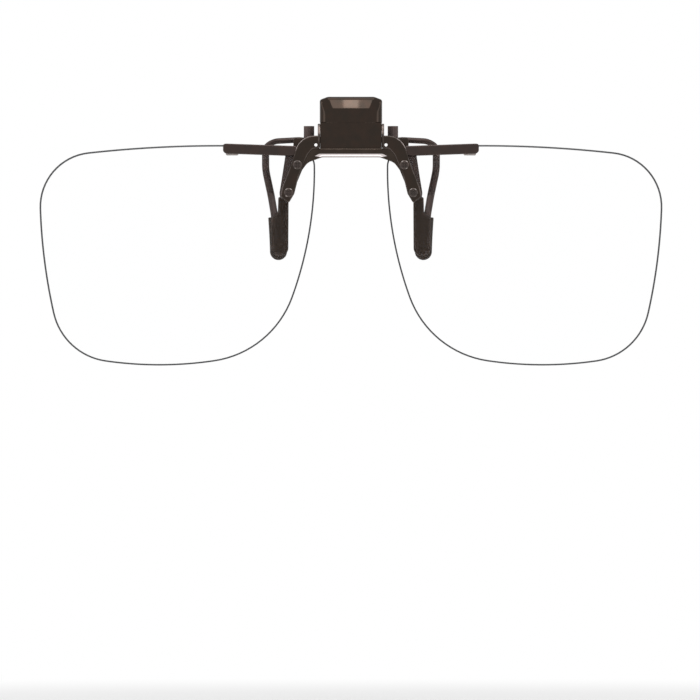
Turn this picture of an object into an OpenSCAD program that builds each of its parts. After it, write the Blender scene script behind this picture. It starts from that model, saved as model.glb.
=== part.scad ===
// Clip-on flip-up lenses for spectacles, in millimetres.
// X runs to the right, the lenses face -Y and Z is up. The origin lies midway between
// the grip pads, on the plane where the front and rear pads close.

/* [Lenses] */
// Width of each lens
lens_w = 57.9; // [50:0.1:62]
// Height of each lens
lens_h = 46.2; // [38:0.2:52]
// Gap between the two lenses at the nose
lens_gap = 15; // [14.4:0.1:18]
// Thickness of each lens
lens_t = 1.6; // [1.2:0.1:2.2]
// Radius of the curve of each lens's back
lens_curve_r = 220; // [150:5:400]
// Radius of the lower corner beside the nose
nasal_low_r = 20.7; // [17:0.1:22]
// Radius of the lower outer corner
temple_low_r = 13.2; // [11:0.1:15]
// Radius of the upper outer corner
temple_top_r = 11.5; // [9:0.1:13]
// Radius of the upper corner beside the nose
nasal_top_r = 4; // [3.4:0.1:5]
// How far the lenses' top edge hangs below the hinge pin
lens_drop = 1.25; // [1:0.05:1.6]

/* [Lens fasteners] */
// Diameter of a lens screw's shank
screw_d = 1.16; // [0.9:0.02:1.3]
// Diameter of a lens screw's head
head_d = 1.95; // [1.7:0.05:2.2]
// Height of a lens screw's head
head_h = 0.55; // [0.4:0.05:0.8]
// Width of a nut across its flats
nut_w = 2.1; // [1.8:0.05:2.3]
// Thickness of a nut
nut_h = 0.8; // [0.5:0.05:1.1]
// Wall of the soft bush around each screw in the lens
bush_wall = 0.18; // [0.12:0.02:0.3]

/* [Bridge, horns and brow arms] */
// Thickness of the bridge's wings and of the horn plates
sheet_t = 0.58; // [0.4:0.02:0.7]
// Height of the bridge bar
bar_h = 1.8; // [1.4:0.1:2.2]
// Depth of the bridge bar from front to back
bar_d = 1.2; // [0.8:0.1:1.3]
// Thickness of a horn's hinge ear
ear_t = 0.4; // [0.25:0.01:0.4]
// Height of a horn's hinge ear above the hinge pin
ear_h = 3.2; // [2.4:0.1:3.2]
// Diameter of the round relief at the fold of each ear
relief_d = 0.66; // [0.4:0.02:0.8]
// Thickness of a brow arm behind the lens
arm_t = 0.9; // [0.6:0.05:1.1]
// Thickness of a brow arm's lip in front of the lens
lip_t = 0.45; // [0.3:0.05:0.6]
// Height of a brow arm
brow_h = 2.1; // [1.8:0.05:2.4]
// Length of a brow arm from the inner edge of the lens
brow_len = 19.3; // [16:0.1:24]
// Length of the soft pad between a brow arm's end and the lens's edge
edge_pad_len = 2.6; // [1.8:0.1:4]
// Thickness of that pad
edge_pad_t = 0.15; // [0.1:0.01:0.2]

/* [Housing and front tab] */
// Width of the spring housing
house_w = 12.84; // [12:0.1:13.4]
// Height of the spring housing
house_h = 6.0; // [5.6:0.1:6.2]
// Thickness of the housing's sheet
house_wall = 0.5; // [0.4:0.05:0.6]
// Width of the front tab
tab_w = 13.1; // [11:0.1:13.1]
// Height of the front tab
tab_h = 5.45; // [4.6:0.05:8]
// Thickness of the front tab
tab_t = 2.6; // [2.4:0.05:2.8]
// Height of the bevel along the front tab's top
top_bevel = 2.4; // [1:0.1:2.6]
// Width of the bevel along each of the front tab's sides
side_bevel = 1.15; // [0.8:0.05:1.6]
// Depth of those bevels
bevel_deep = 1.05; // [0.6:0.05:1.3]
// Thickness of the click leaf behind the hinge pin
leaf_t = 0.25; // [0.15:0.05:0.3]
// Width of the click leaf
leaf_w = 4.4; // [3:0.1:6]

/* [Hinges] */
// Diameter of the hinge pin that the lenses flip on
flip_d = 1.0; // [0.8:0.02:1.1]
// Width across the flats in the middle of the hinge pin
flip_flat = 0.7; // [0.5:0.02:0.7]
// Thickness of a friction washer
washer_t = 0.1; // [0.06:0.01:0.14]
// Diameter of a friction washer
washer_d = 3.4; // [2:0.1:3.5]
// Diameter of the axle that the rear jaw turns on
axle_d = 1.05; // [0.9:0.01:1.1]
// Height of the hinge pin above the middle of the grip
flip_z = 20.3; // [19:0.1:22]
// Distance of the hinge pin in front of the grip
flip_out = 4.5; // [4.4:0.05:5]
// Distance of the axle behind the grip
axle_back = 1.2; // [1.1:0.05:1.5]

/* [Jaws] */
// Width of each front leg
leg_w = 1.5; // [1.2:0.05:1.8]
// Thickness of the front jaw's strip
leg_t = 0.7; // [0.5:0.05:0.8]
// Diameter of the rear wires
wire_d = 1.05; // [0.8:0.01:1.1]
// Share by which the rear wires are pressed wider from their upper bend down
wire_flat = 0.45; // [0:0.05:0.5]
// Radius of the upper bend of each rear wire
wire_bend_r = 2.9; // [2:0.1:3.4]
// How far the rear wires bow out behind the grip
wire_bow = 5.6; // [5:0.1:7]
// Spread of each rear wire from the middle
wire_spread = 17.95; // [17:0.05:19.5]
// Diameter of a wire post
post_d = 2.2; // [1.9:0.1:2.4]
// Height of a wire post
post_h = 4.6; // [4:0.1:5]
// Spread of each wire post from the middle
post_spread = 8.81; // [8.6:0.01:9.4]
// Diameter of a post's set screw
set_screw_d = 0.96; // [0.7:0.02:1.1]
// Diameter of a rear sleeve
rear_sleeve_d = 3.6; // [3:0.1:3.8]
// Lowest point of a rear sleeve, below the middle of the grip
rear_sleeve_drop = 5.05; // [4.6:0.05:6]
// Width of a front sleeve
front_sleeve_w = 3.6; // [3:0.02:3.8]
// Depth of a front sleeve from front to back
front_sleeve_d = 1.95; // [1.7:0.05:2.4]
// Width of a front sleeve's neck
neck_w = 2.24; // [2.1:0.02:2.6]
// Lowest point of a front sleeve, below the middle of the grip
front_sleeve_drop = 4.2; // [3.8:0.1:5]
// Gap between closed front and rear sleeves
grip_gap = 0.3; // [0.3:0.05:0.8]

/* [Thumb lever and spring] */
// Length of the thumb lever from the axle to its tip
lever_len = 9.6; // [7:0.1:11]
// Angle at which the closed thumb lever leans back
lever_lean = 28; // [24:1:34]
// Thickness of the thumb lever's sheet
lever_t = 0.6; // [0.4:0.05:0.8]
// Width of the thumb lever across its ears, inside the housing
lever_w = 11.4; // [10:0.1:11.5]
// Width of the thumb lever's plate above the housing
thumb_w = 13; // [11.5:0.1:13.1]
// Diameter of the spring's wire
spring_d = 0.45; // [0.3:0.01:0.46]
// Diameter of the spring's coil at the middle of its wire
coil_d = 2.2; // [2:0.05:2.4]
// Distance from one curl of the spring to the next
coil_pitch = 0.9; // [0.88:0.01:1]
// Whole curls of the spring, besides the part curl that joins its legs
coil_turns = 4; // [3:1:5]
// Length of the spring's legs
spring_leg = 7; // [5:0.1:7]

/* [Hidden] */
$fn = 48;

// Clearances: between faces that seat, around a turning pin, and around a pressed pin.
seat = 0.02;
run_clear = 0.03;
press_clear = 0.01;
// Room that a cut runs past the face it leaves through.
over = 1;
// Facets of the large balls that shape the lenses, and steps along each rounded corner.
ball_fn = 300;
corner_steps = 6;

// Hinge places. The lens stack lies in front of the hinge pin and the housing's wall.
flip_y = -flip_out;
axle_y = axle_back;
axle_z = flip_z - 0.1;
wall_out = flip_y - flip_d / 2 - 0.3 - house_wall;
house_half = house_w / 2;
house_low = flip_z - 2.6;
house_top = house_low + house_h;
ear_in = house_half + washer_t + 2 * seat;
ear_out = ear_in + ear_t;

// Lens stack, measured where the screws go through it.
lens_in = lens_gap / 2;
lens_top = flip_z - lens_drop;
// Line beside the nose that the corners of the fittings are counted from.
fit_x = lens_in + 0.1;
screw_at = [[fit_x + 3.6, lens_top - 4.25], [fit_x + 5.44, lens_top - 10.05]];
mount_x = (screw_at[0].x + screw_at[1].x) / 2;
mount_z = (screw_at[0].y + screw_at[1].y) / 2;
bar_back = wall_out - 0.8;
lens_front = bar_back - bar_d + sheet_t + 2 * seat;
lens_back = lens_front + lens_t;
wing_r = lens_curve_r + lens_t + seat;
horn_r = wing_r + sheet_t + seat;
screw_clear = screw_d / 2 + 0.04;
bush_r = screw_clear + bush_wall;

// Front tab, which stands on the housing's ledge around its tongue.
tongue_y = wall_out + 0.6;
tongue_half = 3;
tongue_top = house_top + 4;
leaf_y = flip_y + flip_d / 2 + seat;
tab_front = wall_out - 0.1;
tab_back = tab_front + tab_t;
tab_low = house_top + seat;
tab_top = tab_low + tab_h;

// Jaws.
strip_back = -0.4;
strip_front = strip_back - leg_t;
yoke_low = axle_z - 0.65;
yoke_top = axle_z + 0.45;
yoke_out = 12.1;
pad_back = -grip_gap / 2;
pad_x = 14.95;
neck_top = 8.15;
rear_pad_y = grip_gap / 2 + rear_sleeve_d / 2;
spring_room = coil_d / 2 + spring_d / 2 + seat;

// Unit vector along v.
function unit(v) = v / norm(v);

// Angle from a to b, counted anticlockwise from 0 to 360 degrees.
function turn(a, b) = (b - a + 720) % 360;

// Points of an arc about c, from angle a0 through a sweep, in n steps.
function arc(c, r, a0, sweep, n) =
  [for (i = [0:n]) c + r * [cos(a0 + sweep * i / n), sin(a0 + sweep * i / n)]];

// Points of the arc that rounds corner p of a path, in two or three dimensions, where a
// comes before it and b after it.
function fillet(a, p, b, r, n) =
  let (
    u = unit(a - p), w = unit(b - p), half = acos(u * w) / 2,
    c = p + unit(u + w) * r / sin(half),
    e1 = unit(p + u * r / tan(half) - c), e0 = unit(p + w * r / tan(half) - c),
    e2 = unit(e0 - e1 * (e0 * e1)), sweep = acos(e0 * e1)
  )
  [for (i = [0:n]) c + r * (cos(sweep * i / n) * e1 + sin(sweep * i / n) * e2)];

// A closed outline whose corners are given as [x, z, corner radius].
function rounded(p) =
  let (n = len(p))
  [for (i = [0:n - 1])
    let (a = p[(i + n - 1) % n], b = p[(i + 1) % n])
    each p[i][2] == 0 ? [[p[i].x, p[i].y]]
      : fillet([a.x, a.y], [p[i].x, p[i].y], [b.x, b.y], p[i][2], corner_steps)];

// Corner circles of the right lens as [x, z, radius], anticlockwise from the low nasal
// corner. Each stands in from the lens's edges by its radius and by what its sides bulge.
lens_out = lens_in + lens_w;
lens_low = lens_top - lens_h;
lens_corners = [
  [lens_in + nasal_low_r + 3.44, lens_low + nasal_low_r + 0.58, nasal_low_r],
  [lens_out - temple_low_r - 2.47, lens_low + temple_low_r + 0.63, temple_low_r],
  [lens_out - temple_top_r, lens_top - temple_top_r - 1.43, temple_top_r],
  [lens_in + nasal_top_r, lens_top - nasal_top_r - 0.57, nasal_top_r]
];
// Radii of the long arcs along the lens's bottom, outside, top and nasal side.
lens_sides = [79.3, 118.7, 254.6, 77.6];

// Centre of the arc of radius r that touches corner circles a and b from outside.
function side_centre(a, b, r) =
  let (
    p = [a.x, a.y], q = [b.x, b.y], d = norm(q - p), u = (q - p) / d,
    ra = r - a[2], rb = r - b[2], t = (ra * ra - rb * rb + d * d) / (2 * d)
  )
  p + t * u + sqrt(ra * ra - t * t) * [-u.y, u.x];

function heading(p, c) = atan2(p.y - c.y, p.x - c.x);

// Outline of the right lens, or of a shape larger than it all round.
function lens_outline(grow = 0) =
  [for (i = [0:3])
    let (
      before = lens_corners[(i + 3) % 4], here = lens_corners[i], next = lens_corners[(i + 1) % 4],
      c0 = side_centre(before, here, lens_sides[(i + 3) % 4]),
      c1 = side_centre(here, next, lens_sides[i]),
      p = [here.x, here.y], a0 = heading(p, c0), a1 = heading(p, c1), a2 = heading(next, c1)
    )
    each concat(
      arc(p, here[2] + grow, a0, turn(a0, a1), 10),
      [for (k = [1:7]) c1 + (lens_sides[i] + grow) * [
        cos(a1 + turn(a1, a2) * k / 8), sin(a1 + turn(a1, a2) * k / 8)]]
    )];

// Extrudes an outline drawn in x and z from y0 back to y1.
module front_slab(y0, y1) {
  translate([0, y1, 0]) rotate([90, 0, 0]) linear_extrude(height = y1 - y0) children();
}

// Extrudes an outline drawn in y and z from x0 to x1.
module side_slab(x0, x1) {
  translate([x0, 0, 0]) rotate([90, 0, 90]) linear_extrude(height = x1 - x0) children();
}

module rod_x(x0, x1, r, y, z) {
  translate([x0, y, z]) rotate([0, 90, 0]) cylinder(h = x1 - x0, r = r);
}

module rod_y(y0, y1, r, x, z) {
  translate([x, y1, z]) rotate([90, 0, 0]) cylinder(h = y1 - y0, r = r);
}

module box(low, high) {
  translate(low) cube(high - low);
}

module both_sides() {
  children();
  mirror([1, 0, 0]) children();
}

module left() {
  mirror([1, 0, 0]) children();
}

// The part of an outline between two balls about the right lens's centre of curvature.
module curved(r0, r1) {
  centre = [mount_x, lens_back + lens_curve_r, mount_z];
  intersection() {
    front_slab(lens_front - 6, lens_front + 14) children();
    difference() {
      translate(centre) sphere(r = r1, $fn = ball_fn);
      translate(centre) sphere(r = r0, $fn = ball_fn);
    }
  }
}

// A solid tube of triangles along a path, with reference vector across it. Each of the
// path's points may have a share in flat, by which the tube is pressed wider there.
module tube(path, r, sides, across, flat = []) {
  n = len(path);
  points = [for (i = [0:n - 1])
    let (
      t = unit(path[min(i + 1, n - 1)] - path[max(i - 1, 0)]),
      b = unit(across - (across * t) * t), c = cross(t, b), wide = flat == [] ? 1 : 1 + flat[i]
    )
    for (j = [0:sides - 1])
      path[i] + r * (cos(360 * j / sides) / wide * b + sin(360 * j / sides) * wide * c)];
  walls = [for (i = [0:n - 2], j = [0:sides - 1])
    let (k = (j + 1) % sides, a = i * sides + j, b = i * sides + k, c = a + sides, d = b + sides)
    each [[a, c, b], [b, c, d]]];
  first = [for (j = [1:sides - 2]) [0, j, j + 1]];
  last = [for (j = [1:sides - 2]) [(n - 1) * sides, (n - 1) * sides + j + 1, (n - 1) * sides + j]];
  polyhedron(points = points, faces = concat(walls, first, last), convexity = 8);
}

// Side view of a housing cheek: square at the front wall, round about the axle.
module cheek_profile() {
  tail_r = 1.8;
  polygon(rounded([
    [wall_out, house_low, 0],
    [flip_y + 2, house_low, 1],
    [axle_y + 0.3, axle_z - tail_r, 0.8],
    [axle_y + tail_r, axle_z - tail_r * 0.4, 0.7],
    [axle_y + tail_r, axle_z + tail_r * 0.4, 0.7],
    [axle_y + 0.3, axle_z + tail_r, 0.8],
    [strip_front - 0.2, house_top - 0.8, 0.8],
    [strip_front - 1.6, house_top, 1],
    [wall_out, house_top, 0]
  ]));
}

module clip_housing() {
  inner = house_half - house_wall;
  color("#4a3b36")
  difference() {
    union() {
      both_sides() side_slab(inner, house_half) cheek_profile();
      box([-house_half, wall_out, house_low], [house_half, wall_out + house_wall, house_top]);
      box([-house_half, wall_out, house_top - house_wall],
        [house_half, tongue_y + house_wall, house_top]);
      box([-tongue_half, tongue_y, house_top - house_wall],
        [tongue_half, tongue_y + house_wall, tongue_top]);
    }
    rod_x(-house_half - over, house_half + over, axle_d / 2 + run_clear, axle_y, axle_z);
    rod_x(-house_half - over, house_half + over, flip_d / 2 + run_clear, flip_y, flip_z);
    both_sides() box([inner - over, strip_front - seat, yoke_low - seat],
      [house_half + over, strip_back + seat, house_top + over]);
  }
}

// Outline of the front tab, drawn in from its edges.
module tab_outline(side_inset, top_inset) {
  half = tab_w / 2 - side_inset;
  top = tab_top - top_inset;
  polygon(rounded([
    [-half, tab_low, 0.15], [half, tab_low, 0.15],
    [half, top - 0.65, 0.6], [half - 1.7, top, 2],
    [-half + 1.7, top, 2], [-half, top - 0.65, 0.6]
  ]));
}

module front_tab() {
  pocket_top = tongue_top + 0.3;
  color("#4a3b36")
  difference() {
    hull() {
      front_slab(tab_front + bevel_deep, tab_back - 0.3) tab_outline(0, 0);
      front_slab(tab_front, tab_back) tab_outline(side_bevel, top_bevel);
    }
    box([-tongue_half - seat, tongue_y - seat, tab_low - over],
      [tongue_half + seat, tongue_y + house_wall + seat, pocket_top]);
    box([-leaf_w / 2 - seat, leaf_y - seat, tab_low - over],
      [leaf_w / 2 + seat, leaf_y + leaf_t + seat, tab_low + 2]);
  }
}

// The leaf is drawn just clear of the pin's round part, so its flats turn freely past it.
module click_leaf() {
  half = leaf_w / 2;
  color("#b9bcc0")
  front_slab(leaf_y, leaf_y + leaf_t) polygon(rounded([
    [-half, tab_low + 1.9, 0.3], [-half, flip_z - 0.6, 2],
    [-half + 0.7, house_low + 0.5, 0.4], [half - 0.7, house_low + 0.5, 0.4],
    [half, flip_z - 0.6, 2], [half, tab_low + 1.9, 0.3]
  ]));
}

// Half of the front jaw's outline: the yoke through the housing and the splayed leg. The
// yoke drops in the middle, below the spring's front leg.
module jaw_outline() {
  knee_z = neck_top;
  knee_x = 14.2;
  foot_x = 14.8;
  foot_z = -front_sleeve_drop + 1.6;
  half = leg_w / 2;
  drop = 0.55;
  drop_half = coil_len / 2 + 1.4;
  polygon(rounded([
    [0, yoke_low - drop, 0], [drop_half, yoke_low - drop, 0.3],
    [drop_half + drop, yoke_low, 0.3], [post_spread - 0.5, yoke_low, 0.3],
    [post_spread - 0.2, yoke_low - 1.05, 0.3], [yoke_out - leg_w - 0.2, yoke_low - 1.05, 1.2],
    [knee_x - half, knee_z, 6], [foot_x - half, foot_z, 0.7],
    [foot_x + half, foot_z, 0.7], [knee_x + half, knee_z, 8],
    [yoke_out, yoke_low - 1.3, 1.5], [yoke_out, yoke_top, 0.6],
    [drop_half + drop, yoke_top, 0.3], [drop_half, yoke_top - drop, 0.3],
    [0, yoke_top - drop, 0]
  ]));
}

module front_jaw() {
  color("#55453f")
  both_sides() front_slab(strip_front, strip_back) jaw_outline();
}

// Outline of a sleeve's body with a round foot, drawn in from its edges.
module pad_outline(half, top, low, inset) {
  w = half - inset;
  r = w * 0.94;
  polygon(rounded([
    [pad_x - w, low + inset, r], [pad_x + w, low + inset, r],
    [pad_x + w, top - 1.1 - inset, 0.5], [pad_x + w - 1.4, top - inset / 2, 0.4],
    [pad_x - w, top - inset / 2, 0.1]
  ]));
}

// Outline of a sleeve's neck, which leans in a little towards its top.
module neck_outline(neck_in, inset) {
  polygon(rounded([
    [neck_in + inset, 3, 0], [neck_in + neck_w - inset, 3, 0],
    [neck_in + neck_w - 0.2 - inset, neck_top - inset / 3, 0.25],
    [neck_in - 0.12 + inset, neck_top - inset / 3, 0.25]
  ]));
}

module front_sleeve() {
  front = pad_back - front_sleeve_d;
  edge = 0.4;
  half = front_sleeve_w / 2;
  neck_in = pad_x - half + 0.05;
  color("#2f2725")
  difference() {
    union() {
      hull() {
        front_slab(front + edge, pad_back - edge) pad_outline(half, 4.9, -front_sleeve_drop, 0);
        front_slab(front, pad_back) pad_outline(half, 4.9, -front_sleeve_drop, edge);
      }
      hull() {
        front_slab(front + edge, pad_back - edge) neck_outline(neck_in, 0);
        front_slab(front + 0.1, pad_back - 0.1) neck_outline(neck_in, 0.3);
      }
    }
    front_slab(strip_front - press_clear, strip_back + press_clear) offset(delta = press_clear)
      jaw_outline();
  }
}

module right_front_sleeve() {
  front_sleeve();
}

module left_front_sleeve() {
  left() front_sleeve();
}

// The spring's path: down its front leg, round the axle and up its rear leg. Angles are
// taken about the axle from +Y towards +Z.
front_leg_angle = 206;
rear_leg_angle = 360 - lever_lean;
coil_sweep = rear_leg_angle - front_leg_angle + 360 * coil_turns;
coil_steps = ceil(coil_sweep / 45);
coil_len = coil_pitch * coil_sweep / 360;
function coil_point(a, x) = [x, axle_y + coil_d / 2 * cos(a), axle_z + coil_d / 2 * sin(a)];
function spring_path() =
  let (
    turns = [for (i = [0:coil_steps])
      coil_point(front_leg_angle + coil_sweep * i / coil_steps, coil_len * (i / coil_steps - 0.5))],
    up_front = [0, sin(front_leg_angle), -cos(front_leg_angle)],
    up_rear = [0, -sin(rear_leg_angle), cos(rear_leg_angle)]
  )
  concat([turns[0] + spring_leg * up_front, turns[0] + 0.6 * up_front], turns,
    [turns[coil_steps] + 0.6 * up_rear, turns[coil_steps] + spring_leg * up_rear]);

// Least distance between two curls, from point to point on the path, less the wire.
coil_gap = min([for (i = [0:coil_steps - 8]) norm(spring_path()[i + 2] - spring_path()[i + 10])])
  - spring_d;
echo(coil_gap = coil_gap);

module torsion_spring() {
  color("#c7c9cc") tube(spring_path(), spring_d / 2, 6, [1, 0, 0]);
}

axle_end = post_spread - 0.06;
module jaw_axle() {
  color("#8d8884") rod_x(-axle_end, axle_end, axle_d / 2, axle_y, axle_z);
}

// The lever is drawn upright about the axle and then leaned back.
module thumb_lever() {
  half = lever_w / 2;
  thumb_half = thumb_w / 2;
  back = spring_room + lever_t;
  ear_r = axle_y - strip_back - 0.25;
  color("#4a3b36")
  translate([0, axle_y, axle_z]) rotate([-lever_lean, 0, 0])
  difference() {
    union() {
      both_sides() side_slab(half - lever_t, half) {
        circle(r = ear_r);
        polygon(rounded([
          [-1, 0.2, 0], [0, -ear_r, 0], [back, 0.4, 0.6], [back, lever_len - 3, 0],
          [spring_room - 0.1, lever_len - 3, 0.3], [0.2, 2.6, 1]
        ]));
      }
      front_slab(spring_room, back) polygon(rounded([
        [-half, 1.2, 0.4], [half, 1.2, 0.4], [half, 2.6, 0.3], [thumb_half, 3.1, 0.4],
        [thumb_half, lever_len - 1.6, 1], [thumb_half - 1.8, lever_len, 1],
        [-thumb_half + 1.8, lever_len, 1], [-thumb_half, lever_len - 1.6, 1],
        [-thumb_half, 3.1, 0.4], [-half, 2.6, 0.3]
      ]));
      for (k = [0:3]) rod_x(-thumb_half + 2.4, thumb_half - 2.4, 0.18, back, lever_len - 1.4 - 0.9 * k);
    }
    rod_x(-half - over, half + over, axle_d / 2 + press_clear, 0, 0);
  }
}

module wire_post() {
  top = axle_z + 2.9;
  low = top - post_h;
  color("#6a5f5a")
  difference() {
    translate([post_spread, axle_y, low]) cylinder(h = post_h, r = post_d / 2);
    rod_x(post_spread - post_d, post_spread + post_d, max(axle_d, wire_d) / 2 + press_clear,
      axle_y, axle_z);
    translate([post_spread, axle_y, axle_z]) cylinder(h = 2.9 + over, r = set_screw_d / 2 + seat);
  }
}

module right_wire_post() {
  wire_post();
}

module left_wire_post() {
  left() wire_post();
}

module post_screws() {
  low = axle_z + max(axle_d, wire_d) / 2 + seat;
  high = axle_z + 2.75;
  color("#8d8884")
  both_sides() difference() {
    translate([post_spread, axle_y, low]) cylinder(h = high - low, r = set_screw_d / 2);
    box([post_spread - 0.1, axle_y - 1, high - 0.35], [post_spread + 0.1, axle_y + 1, high + over]);
  }
}

// Corners of the right rear wire, from inside its post down to its end in the sleeve.
wire_turns = [
  [post_spread + 0.06, axle_y, axle_z],
  [wire_spread, axle_y, axle_z],
  [wire_spread, wire_bow, axle_z - 6.3],
  [wire_spread - 1.15, wire_bow, 8.6],
  [pad_x + 1.17, rear_pad_y, 4.7],
  [pad_x + 0.3, rear_pad_y, -rear_sleeve_drop + 1.5]
];
wire_bends = [0, wire_bend_r, 4, 2.6, 1.2, 0];
// The wire grown by a gap, whose end in the sleeve lies a little lower.
module wire(gap, end_drop) {
  path = concat(
    [wire_turns[0]],
    [for (i = [1:4])
      each fillet(wire_turns[i - 1], wire_turns[i], wire_turns[i + 1], wire_bends[i], 6)],
    [wire_turns[5] - [0, 0, end_drop]]
  );
  flat = [for (p = path) wire_flat * max(0, min(1, 2 * (axle_z - p.z) / wire_bend_r))];
  tube(path, wire_d / 2 + gap, 12, [0, 1, 0], flat);
}

module right_rear_wire() {
  color("#4a3b36") wire(0, 0);
}

module left_rear_wire() {
  left() right_rear_wire();
}

module rear_sleeve() {
  r = rear_sleeve_d / 2;
  top = [pad_x + 0.65, rear_pad_y, 4];
  foot = [pad_x + 0.27, rear_pad_y, -rear_sleeve_drop + r];
  lean = atan2(top.x - foot.x, top.z - foot.z);
  length = norm(top - foot);
  color("#2f2725")
  difference() {
    translate(foot) rotate([0, lean, 0]) rotate_extrude($fn = 64) polygon(concat(
      [[0, length], [r - 0.35, length]],
      arc([r - 0.35, length - 0.35], 0.35, 75, -75, 4),
      arc([0, 0], r, 0, -90, 10)
    ));
    wire(press_clear, seat);
  }
}

module right_rear_sleeve() {
  rear_sleeve();
}

module left_rear_sleeve() {
  left() rear_sleeve();
}

// The hinge pin has a square stretch that the click leaf bears on at each end of its turn.
module flip_pin() {
  flat_half = leaf_w / 2 + 0.3;
  h = flip_flat / 2;
  color("#8d8884")
  difference() {
    rod_x(-ear_out, ear_out, flip_d / 2, flip_y, flip_z);
    difference() {
      box([-flat_half, flip_y - 1, flip_z - 1], [flat_half, flip_y + 1, flip_z + 1]);
      box([-flat_half - over, flip_y - h, flip_z - h], [flat_half + over, flip_y + h, flip_z + h]);
    }
  }
}

module hinge_washers() {
  low = house_half + seat;
  color("#c9b78a")
  both_sides() difference() {
    rod_x(low, low + washer_t, washer_d / 2, flip_y, flip_z);
    rod_x(low - over, low + washer_t + over, flip_d / 2 + run_clear, flip_y, flip_z);
  }
}

// Half of the bridge's outline: the bar and the wing that runs down behind a horn.
bar_top = lens_top - 0.75;
bar_low = bar_top - bar_h;
module bridge_outline() {
  polygon(rounded([
    [0, bar_low, 0], [ear_in - 0.5, bar_low, 1.5],
    [fit_x + 1.45, lens_top - 3.75, 2.5], [fit_x + 2.6, lens_top - 5.3, 1.5],
    [fit_x + 4.12, lens_top - 9, 4], [fit_x + 4.7, lens_top - 10.9, 0.5],
    [fit_x + 6.1, lens_top - 11.1, 0.5], [fit_x + 6.35, lens_top - 9.2, 3],
    [fit_x + 4.9, lens_top - 4.8, 4], [fit_x + 3.2, bar_top, 1.5],
    [0, bar_top, 0]
  ]));
}

module bridge_bar() {
  roll = 0.55;
  color("#5a4a44")
  difference() {
    union() {
      both_sides() curved(wing_r, wing_r + sheet_t) bridge_outline();
      side_slab(-ear_in + 0.3, ear_in - 0.3) polygon(rounded([
        [bar_back, bar_low, 0.2], [bar_back - bar_d, bar_low, roll],
        [bar_back - bar_d, bar_top, roll], [bar_back, bar_top, 0.2]
      ]));
    }
    both_sides() for (s = screw_at) rod_y(lens_front - 4, lens_front + 2, screw_clear, s.x, s.y);
  }
}

// Outline of a horn plate, from its folded ear round to its slanted tail.
module horn_outline() {
  polygon(rounded([
    [ear_in + 0.1, flip_z + 0.65, 0], [fit_x + 2.87, flip_z + 0.65, 4.3],
    [fit_x + 4.0, lens_top - 1.15, 3], [fit_x + 5.15, lens_top - 4.75, 8],
    [fit_x + 6.85, lens_top - 9.15, 5], [fit_x + 7.15, lens_top - 10.9, 0.5],
    [fit_x + 5.45, lens_top - 12.3, 0.4], [fit_x + 4.25, lens_top - 10.3, 0.6],
    [fit_x + 3.35, lens_top - 6.65, 4], [fit_x + 2.65, lens_top - 4.85, 3],
    [fit_x + 1.5, lens_top - 2.15, 1.5], [fit_x + 0.4, bar_top + seat, 0.6],
    [ear_in + 0.1, bar_top + seat, 0]
  ]));
}

module ear_profile() {
  front = lens_front - 2 * sheet_t + 0.3;
  polygon(rounded([
    [front, flip_z - 1.9, 0], [flip_y + 2, flip_z - 1.9, 1.6],
    [flip_y + 2.1, flip_z + ear_h - 1, 1.2], [flip_y + 0.7, flip_z + ear_h, 0.6],
    [flip_y - 1.3, flip_z + ear_h, 1.2], [front + 1.3, flip_z + 0.8, 1],
    [front, flip_z + 0.6, 0]
  ]));
}

module horn() {
  color("#4a3b36")
  difference() {
    union() {
      curved(horn_r, horn_r + sheet_t) horn_outline();
      side_slab(ear_in, ear_out) ear_profile();
    }
    rod_x(ear_in - over, ear_out + over, flip_d / 2 + press_clear, flip_y, flip_z);
    rod_y(lens_front - 4, lens_front + 1, relief_d / 2, ear_out + 0.05 + relief_d / 2, flip_z - 1.23);
    for (s = screw_at) rod_y(lens_front - 4, lens_front + 2, screw_clear, s.x, s.y);
  }
}

module right_horn() {
  horn();
}

module left_horn() {
  left() horn();
}

module lens() {
  color([0.86, 0.92, 0.97, 0.45])
  difference() {
    curved(lens_curve_r, lens_curve_r + lens_t) polygon(lens_outline());
    for (s = screw_at) rod_y(lens_front - 2, lens_back + 2, bush_r + seat, s.x, s.y);
  }
}

module right_lens() {
  lens();
}

module left_lens() {
  left() lens();
}

// A brow arm's bar along the lens's top edge, from x to the arm's end.
brow_end = lens_in + brow_len;
brow_rise = 0.27;
module brow_outline(x) {
  polygon(rounded([
    [x, lens_top - 0.27 - brow_h, 0], [brow_end - 0.1, lens_top + brow_rise - brow_h, 0.8],
    [brow_end, lens_top + brow_rise, 0.9], [x, lens_top - 0.27, 0]
  ]));
}

// The leg that carries the arm behind the lens, with a bar that covers its screws.
module arm_leg_outline() {
  polygon(rounded([
    [fit_x + 6.1, lens_top - 1.6, 0], [fit_x + 6.2, lens_top - 2.6, 0],
    [fit_x + 6.8, lens_top - 6.5, 12], [fit_x + 7.4, lens_top - 10.2, 2],
    [fit_x + 7.2, lens_top - 11.3, 0.7], [fit_x + 4.8, lens_top - 11.4, 0.7],
    [fit_x + 3.6, lens_top - 6.5, 6], [fit_x + 2.1, lens_top - 2.6, 2],
    [fit_x + 2.2, lens_top - 0.6, 0.8], [fit_x + 6, lens_top - 0.3, 0]
  ]));
}

module lens_pocket(gap) {
  curved(lens_curve_r - gap, lens_curve_r + lens_t + gap) polygon(lens_outline(gap));
}

module brow_arm() {
  lip_from = fit_x + 5.4;
  color("#4a3b36")
  difference() {
    union() {
      curved(lens_curve_r - arm_t, lens_curve_r + lens_t + lip_t) brow_outline(lip_from);
      curved(lens_curve_r - arm_t, lens_curve_r - seat) arm_leg_outline();
    }
    lens_pocket(seat);
    curved(lens_curve_r - edge_pad_t - seat, lens_curve_r + lens_t + edge_pad_t + seat)
      edge_pad_outline(seat);
    for (s = screw_at) rod_y(lens_back - over, lens_back + arm_t + over, screw_clear, s.x, s.y);
  }
}

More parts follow.
